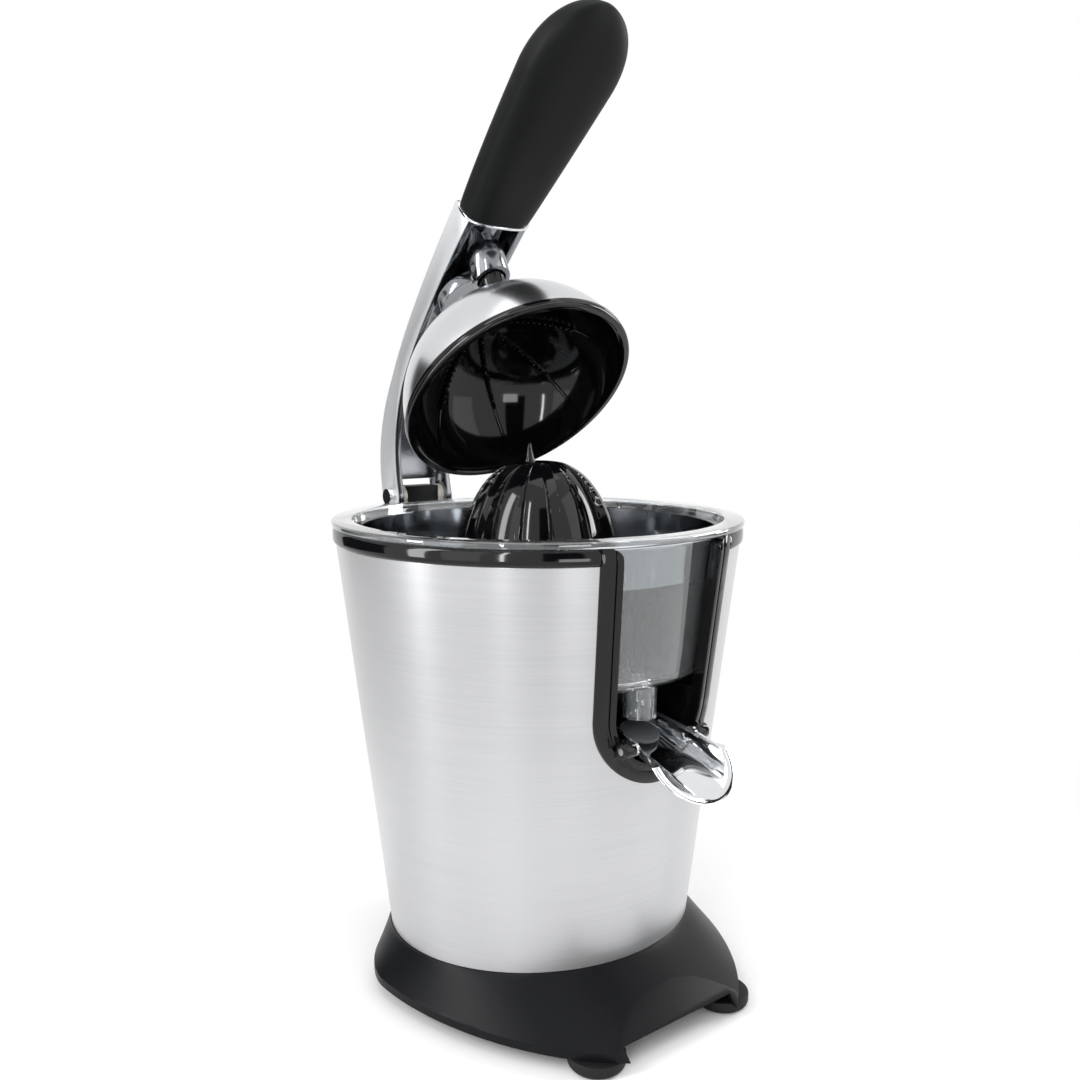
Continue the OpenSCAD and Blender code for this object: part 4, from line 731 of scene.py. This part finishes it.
rim_profile = ([(dome_r - rim_w, rim_chamfer), (dome_r - rim_w + rim_chamfer, 0)]
               + arc((dome_r - rim_round, rim_round), rim_round, -90, 0, 6)
               + [(dome_r, rim_h / 2 - rim_groove), (dome_r - rim_groove, rim_h / 2),
                  (dome_r, rim_h / 2 + rim_groove)]
               + arc((dome_r - rim_round / 2, rim_h - rim_round / 2), rim_round / 2, 0, 110, 5)
               + [(shell_r + rim_lap, rim_h / 2 + rim_lap_h), (dome_r - rim_w, rim_h / 2)])
piece("dome_ring", turned("dome_ring", rim_profile, steps=dome_sides, matrix=dome_place), gloss_black,
      "dome_body", "gloss_black", "dome_rim")


# Liner: gloss black ABS, moulded in one with its ribs. Its cup is plain, and eight thin ribs run down
# it from the crown; the upper part of each rib is a row of small rounded teeth that grip the peel.
liner_r = shell_r - dome_wall - liner_gap
liner_h = shell_h - dome_wall - liner_gap
rib_count = 8
rib_turn = 21
rib_t = 1.9 * mm
rib_rise = 2.9 * mm
rib_low_rise = 1.0 * mm
rib_steps = 176
rib_teeth = 16
rib_sides = 8
rib_end_angle = 86
rib_start_share = 0.10
rib_root_share = 0.6
tooth_share = 0.42
tooth_low_share = 0.4


def rib_mesh(name):
    """One rib along the cup, in the XZ plane: high and toothed near the crown, low towards the rim."""
    sunk = liner_wall * rib_root_share
    root = dome_curve(liner_r - sunk, liner_h - sunk, rib_steps, rib_end_angle)
    rings = []
    for i, (r, z) in enumerate(root):
        share = i / rib_steps
        if share < rib_start_share:
            continue
        height = rib_low_rise
        if share > tooth_share:
            tooth = (share - tooth_share) / (1 - tooth_share) * rib_teeth
            height = rib_rise * (tooth_low_share + (1 - tooth_low_share) * abs(sin(pi * tooth)))
        reach = liner_wall - sunk + height
        away = Vector((r / liner_r, (z - rim_h / 2) / liner_h)).normalized()
        ring = [(r, rib_t / 2, z)]
        for k in range(rib_sides + 1):
            lean = pi * k / rib_sides
            out = reach - rib_t / 2 + rib_t / 2 * sin(lean)
            ring.append((r - away.x * out, rib_t / 2 * cos(lean), z - away.y * out))
        ring.append((r, -rib_t / 2, z))
        rings.append(ring)
    return mesh_from(lofted(bmesh.new(), rings), name)


def repeated(name, part, count, start, look):
    """Copies of a part about Z by Geometry Nodes, as one plain mesh."""
    group = bpy.data.node_groups.new(name, "GeometryNodeTree")
    face = group.interface
    socket = {}
    for label, kind in (("Copies", "NodeSocketInt"), ("First turn", "NodeSocketFloat"),
                        ("Part", "NodeSocketObject"), ("Look", "NodeSocketMaterial")):
        socket[label] = face.new_socket(label, in_out="INPUT", socket_type=kind).identifier
    face.new_socket("Geometry", in_out="OUTPUT", socket_type="NodeSocketGeometry")
    given = add(group, "NodeGroupInput")
    points = add(group, "GeometryNodePoints", {"Count": given.outputs["Copies"]})
    index = add(group, "GeometryNodeInputIndex")
    pitch = add(group, "ShaderNodeMath", {0: 2 * pi, 1: given.outputs["Copies"]}, operation="DIVIDE")
    turn = add(group, "ShaderNodeMath", {0: index.outputs[0], 1: pitch.outputs[0],
                                         2: given.outputs["First turn"]}, operation="MULTIPLY_ADD")
    spin = add(group, "ShaderNodeCombineXYZ", {"Z": turn.outputs[0]})
    part_in = add(group, "GeometryNodeObjectInfo", {"Object": given.outputs["Part"]})
    copies = add(group, "GeometryNodeInstanceOnPoints", {
        "Points": points.outputs[0], "Instance": part_in.outputs["Geometry"], "Rotation": spin.outputs[0]})
    real = add(group, "GeometryNodeRealizeInstances", {"Geometry": copies.outputs[0]})
    dressed = add(group, "GeometryNodeSetMaterial", {"Geometry": real.outputs[0],
                                                     "Material": given.outputs["Look"]})
    add(group, "NodeGroupOutput", {"Geometry": dressed.outputs[0]})
    carrier = bpy.data.objects.new(name, bpy.data.meshes.new(name))
    bpy.context.scene.collection.objects.link(carrier)
    modifier = carrier.modifiers.new(name, "NODES")
    modifier.node_group = group
    modifier[socket["Copies"]] = count
    modifier[socket["First turn"]] = start
    modifier[socket["Part"]] = part
    modifier[socket["Look"]] = look
    bpy.context.view_layer.update()
    result = bpy.data.meshes.new_from_object(carrier.evaluated_get(bpy.context.evaluated_depsgraph_get()))
    bpy.data.objects.remove(carrier)
    bpy.data.objects.remove(part)
    return result


cup_profile = (dome_curve(liner_r, liner_h) + dome_curve(liner_r - liner_wall, liner_h - liner_wall)[::-1])
liner_cup = turned("liner_cup", cup_profile, steps=dome_sides)
liner_ribs = repeated("liner_ribs", cutter("liner_rib", rib_mesh("liner_rib")), rib_count,
                      radians(rib_turn), gloss_black)
liner_mesh = joined("ribbed_liner", [liner_cup, liner_ribs])
liner_mesh.transform(dome_place)
piece("ribbed_liner", liner_mesh, gloss_black, "dome_body", "gloss_black", "dome_liner")


# Grip: two-shot moulding, hard core on the lever's tang with a black soft-touch skin. It widens to a
# paddle, its back is fuller than its front, and it droops a little towards its tip.
grip_foot = (0, 36 * mm, 355 * mm)
grip_lean = 47
grip_start = 1.3 * mm
grip_len = 107 * mm
grip_root_w = 18.2 * mm
grip_w = 24 * mm
grip_thin = 6.4 * mm
grip_belly = 9.4 * mm
grip_front_more = 4.4 * mm
grip_droop = 3.4 * mm
grip_tip = 0.4 * mm
grip_steps = 72
grip_sides = 160
grip_widest_share = 0.7
grip_fullest_share = 0.75
grip_side_end_share = 0.32
grip_back_end_share = 0.256
grip_widen_power = 0.8
grip_droop_power = 1.6
grip_end_power = 2.2
grip_step_power = 1.9
grip_side_power = 0.6
grip_front_power = 0.62
grip_back_power = 0.75


def grip_end(t, share):
    """Rounds the grip's last share off to nothing at its tip."""
    if t < 1 - share:
        return 1.0
    return math.sqrt(max(0.0, 1 - ((t - 1 + share) / share) ** grip_end_power))


def grip_ring(t):
    """The grip's outline at share t of its length."""
    widening = min(1, t / grip_widest_share) ** grip_widen_power
    filling = sin(min(1, t / grip_fullest_share) * pi / 2)
    wide = (grip_root_w + (grip_w - grip_root_w) * widening) * grip_end(t, grip_side_end_share)
    thick = (grip_thin + (grip_belly - grip_thin) * filling) * grip_end(t, grip_back_end_share)
    ring = []
    for j in range(grip_sides):
        a = 2 * pi * j / grip_sides
        front = sin(a) < 0
        deep = max(thick + (grip_front_more * (1 - t) if front else 0), grip_tip)
        fullness = grip_front_power if front else grip_back_power
        ring.append((max(wide, grip_tip) * rounded(cos(a), grip_side_power),
                     -grip_droop * t ** grip_droop_power + deep * rounded(sin(a), fullness),
                     grip_start + t * grip_len))
    return ring


# Soft-touch skin: almost black, with a broad dull sheen; its fine grain is drawn at 0.6 mm so that
# it shows.
grip_black = grain(finish("soft_touch_black", "#0d0e0f", roughness=0.5),
                   size=0.6 * mm, tones=("#0b0c0d", "#121314"), gloss=(0.44, 0.56), depth=0.015 * mm)
shader_of(grip_black).inputs["Specular IOR Level"].default_value = 0.14
grip_rings = [grip_ring(1 - (1 - i / grip_steps) ** grip_step_power) for i in range(grip_steps + 1)]
grip_mesh = mesh_from(lofted(bmesh.new(), grip_rings), "soft_grip", sharp=60)
grip_mesh.transform(Matrix.Translation(grip_foot) @ Matrix.Rotation(radians(grip_lean), 4, "X"))
piece("soft_grip", grip_mesh, grip_black, "arm_body", "grip_black", "grip")


# Spout: pressed from sheet and chrome plated, with a rolled rim at its mouth; two ears hold it on the
# window frame's lugs. A grey silicone disc in it closes the outlet when it is folded up.
spout_y = -86 * mm
spout_z = 128 * mm
# Each from root to mouth, drawn towards its middle value: y and z from the pivot, or half a width.
spout_edge = [(22 * mm, 6.5 * mm), (0, 2.8 * mm), (-16.5 * mm, -2.9 * mm)]
spout_floor = [(22 * mm, -1.5 * mm), (-4 * mm, -8 * mm), (-28.9 * mm, -16.7 * mm)]
spout_half_w = (13 * mm, 17 * mm, 18.5 * mm)
spout_rim = 2.5 * mm
spout_rim_share = 0.86
spout_round_share = 0.957
spout_wall = 1.3 * mm
spout_sides = 64
spout_steps = 48
spout_rim_steps = 10
spout_root_power = 0.7
mouth_edge_share = 0.04
disc_edge = 0.2 * mm
ear_r = 3 * mm
ear_bore_r = 1.55 * mm
ear_low = 15.8 * mm
ear_high = 17.2 * mm


def spout_ring(t, inset):
    """Half an outline of the scoop at share t of its length, from one edge to the other."""
    edge = Vector((bezier(*[p[0] for p in spout_edge], t), bezier(*[p[1] for p in spout_edge], t)))
    bottom = Vector((bezier(*[p[0] for p in spout_floor], t), bezier(*[p[1] for p in spout_floor], t)))
    drop = bottom - edge
    down = drop.normalized()
    power = spout_root_power + (1 - spout_root_power) * t
    wide = bezier(*spout_half_w, t) - inset
    deep = drop.length - inset
    ring = []
    for j in range(spout_sides + 1):
        a = pi - pi * j / spout_sides
        fall = deep * rounded(sin(a), power)
        ring.append((wide * rounded(cos(a), power), spout_y + edge.x + down.x * fall,
                     spout_z + edge.y + down.y * fall))
    return ring


def sheet_ring(t):
    """The scoop's closed outline: plain sheet that swells into a rolled rim, rounded off at the mouth."""
    growth = min(1, max(0, (t - spout_rim_share) / (spout_round_share - spout_rim_share)))
    outer = -spout_rim * sin(growth * pi / 2)
    inner = spout_wall
    past = max(0, (t - spout_round_share) / (1 - spout_round_share))
    middle = (outer + inner) / 2
    fullness = max(math.sqrt(max(0, 1 - past * past)), mouth_edge_share)
    outer = middle + (outer - middle) * fullness
    inner = middle + (inner - middle) * fullness
    return spout_ring(t, outer) + spout_ring(t, inner)[::-1]


shares = [spout_rim_share * i / spout_steps for i in range(spout_steps)]
shares += [spout_rim_share + (spout_round_share - spout_rim_share) * i / spout_rim_steps
           for i in range(spout_rim_steps)]
shares += [spout_round_share + (1 - spout_round_share) * sin(pi / 2 * i / spout_rim_steps)
           for i in range(spout_rim_steps + 1)]
scoop = mesh_from(lofted(bmesh.new(), [sheet_ring(t) for t in shares]), "scoop")
ear_profile = [(ear_bore_r, ear_low), (ear_r, ear_low), (ear_r, ear_high), (ear_bore_r, ear_high)]
at_pivot = Matrix.Translation((0, spout_y, spout_z))
ears = [turned("ear", ear_profile, steps=48, matrix=at_pivot @ Matrix.Rotation(side * pi / 2, 4, "Y"))
        for side in (-1, 1)]
spout_mesh = joined("chrome_spout", [scoop] + ears, sharp=40)
piece("chrome_spout", spout_mesh, chrome, "spout_body", "chrome", "spout")
# Moulded silicone: mid grey and dull.
silicone = grain(finish("moulded_grey_silicone", "#4a4d50", roughness=0.5),
                 size=1.5 * mm, tones=("#46494c", "#4f5255"), gloss=(0.42, 0.56), depth=0.01 * mm)
piece("disc_in_spout", softened("drip_disc", disc_edge), silicone, "spout_body", "rubber", "drip_disc")


# Inner pieces: tub, posts and switch of polypropylene, gears and gearbox of acetal, a drawn steel motor
# can, a brass bush and motor shaft, and zinc-plated shafts, pins and screws. They keep their own meshes,
# and every node, also one that a finer piece stands for, carries the finish of its slot.

# Matt polypropylene: dark, with a slightly greasy sheen.
inner_plastic = grain(finish("matt_black_polypropylene", "#1f2124", roughness=0.5),
                      size=1.2 * mm, tones=("#1b1d20", "#25272a"), gloss=(0.42, 0.58), depth=0.02 * mm)
# Acetal: ivory, with a waxy half-shine.
acetal = grain(finish("natural_acetal", "#e6e2d6", roughness=0.38),
               size=5 * mm, tones=("#e0dccf", "#ece9de"), gloss=(0.3, 0.45), depth=0.005 * mm)
# Zinc plate: grey with a mild blue cast, uneven from handling.
zinc_steel = grain(finish("zinc_plated_steel", "#b4b6ba", roughness=0.3, metallic=1.0),
                   size=2 * mm, tones=("#a9abb0", "#c0c2c6"), gloss=(0.22, 0.38), depth=0.004 * mm)
# Drawn galvanised steel: darker, streaked along the draw.
motor_metal = grain(finish("drawn_galvanised_steel", "#8d9094", roughness=0.38, metallic=1.0),
                    size=12 * mm, stretch=(1, 1, 0.2), tones=("#83868a", "#9a9da1"), gloss=(0.3, 0.46),
                    depth=0.006 * mm)
# Turned brass: warm, with fine turning lines drawn coarser than real.
brass = grain(finish("turned_brass", "#c9a65a", roughness=0.28, metallic=1.0),
              size=3 * mm, stretch=(1, 1, 20), tones=("#be9a4e", "#d3b26a"), gloss=(0.2, 0.34),
              depth=0.004 * mm)
looks = {
    "steel": steel, "base_black": base_black, "gloss_black": gloss_black, "clear": clear,
    "sieve_steel": sieve_steel, "cast_metal": cast_metal, "dome_steel": dome_steel, "chrome": chrome,
    "grip_black": grip_black, "rubber": rubber, "inner_plastic": inner_plastic, "gear_plastic": acetal,
    "plain_steel": zinc_steel, "motor_metal": motor_metal, "brass": brass,
}
for row in frame["record"]["subparts"]:
    for slot in nodes[row["node"]].material_slots:
        slot.material = looks[row["material_slot"]]
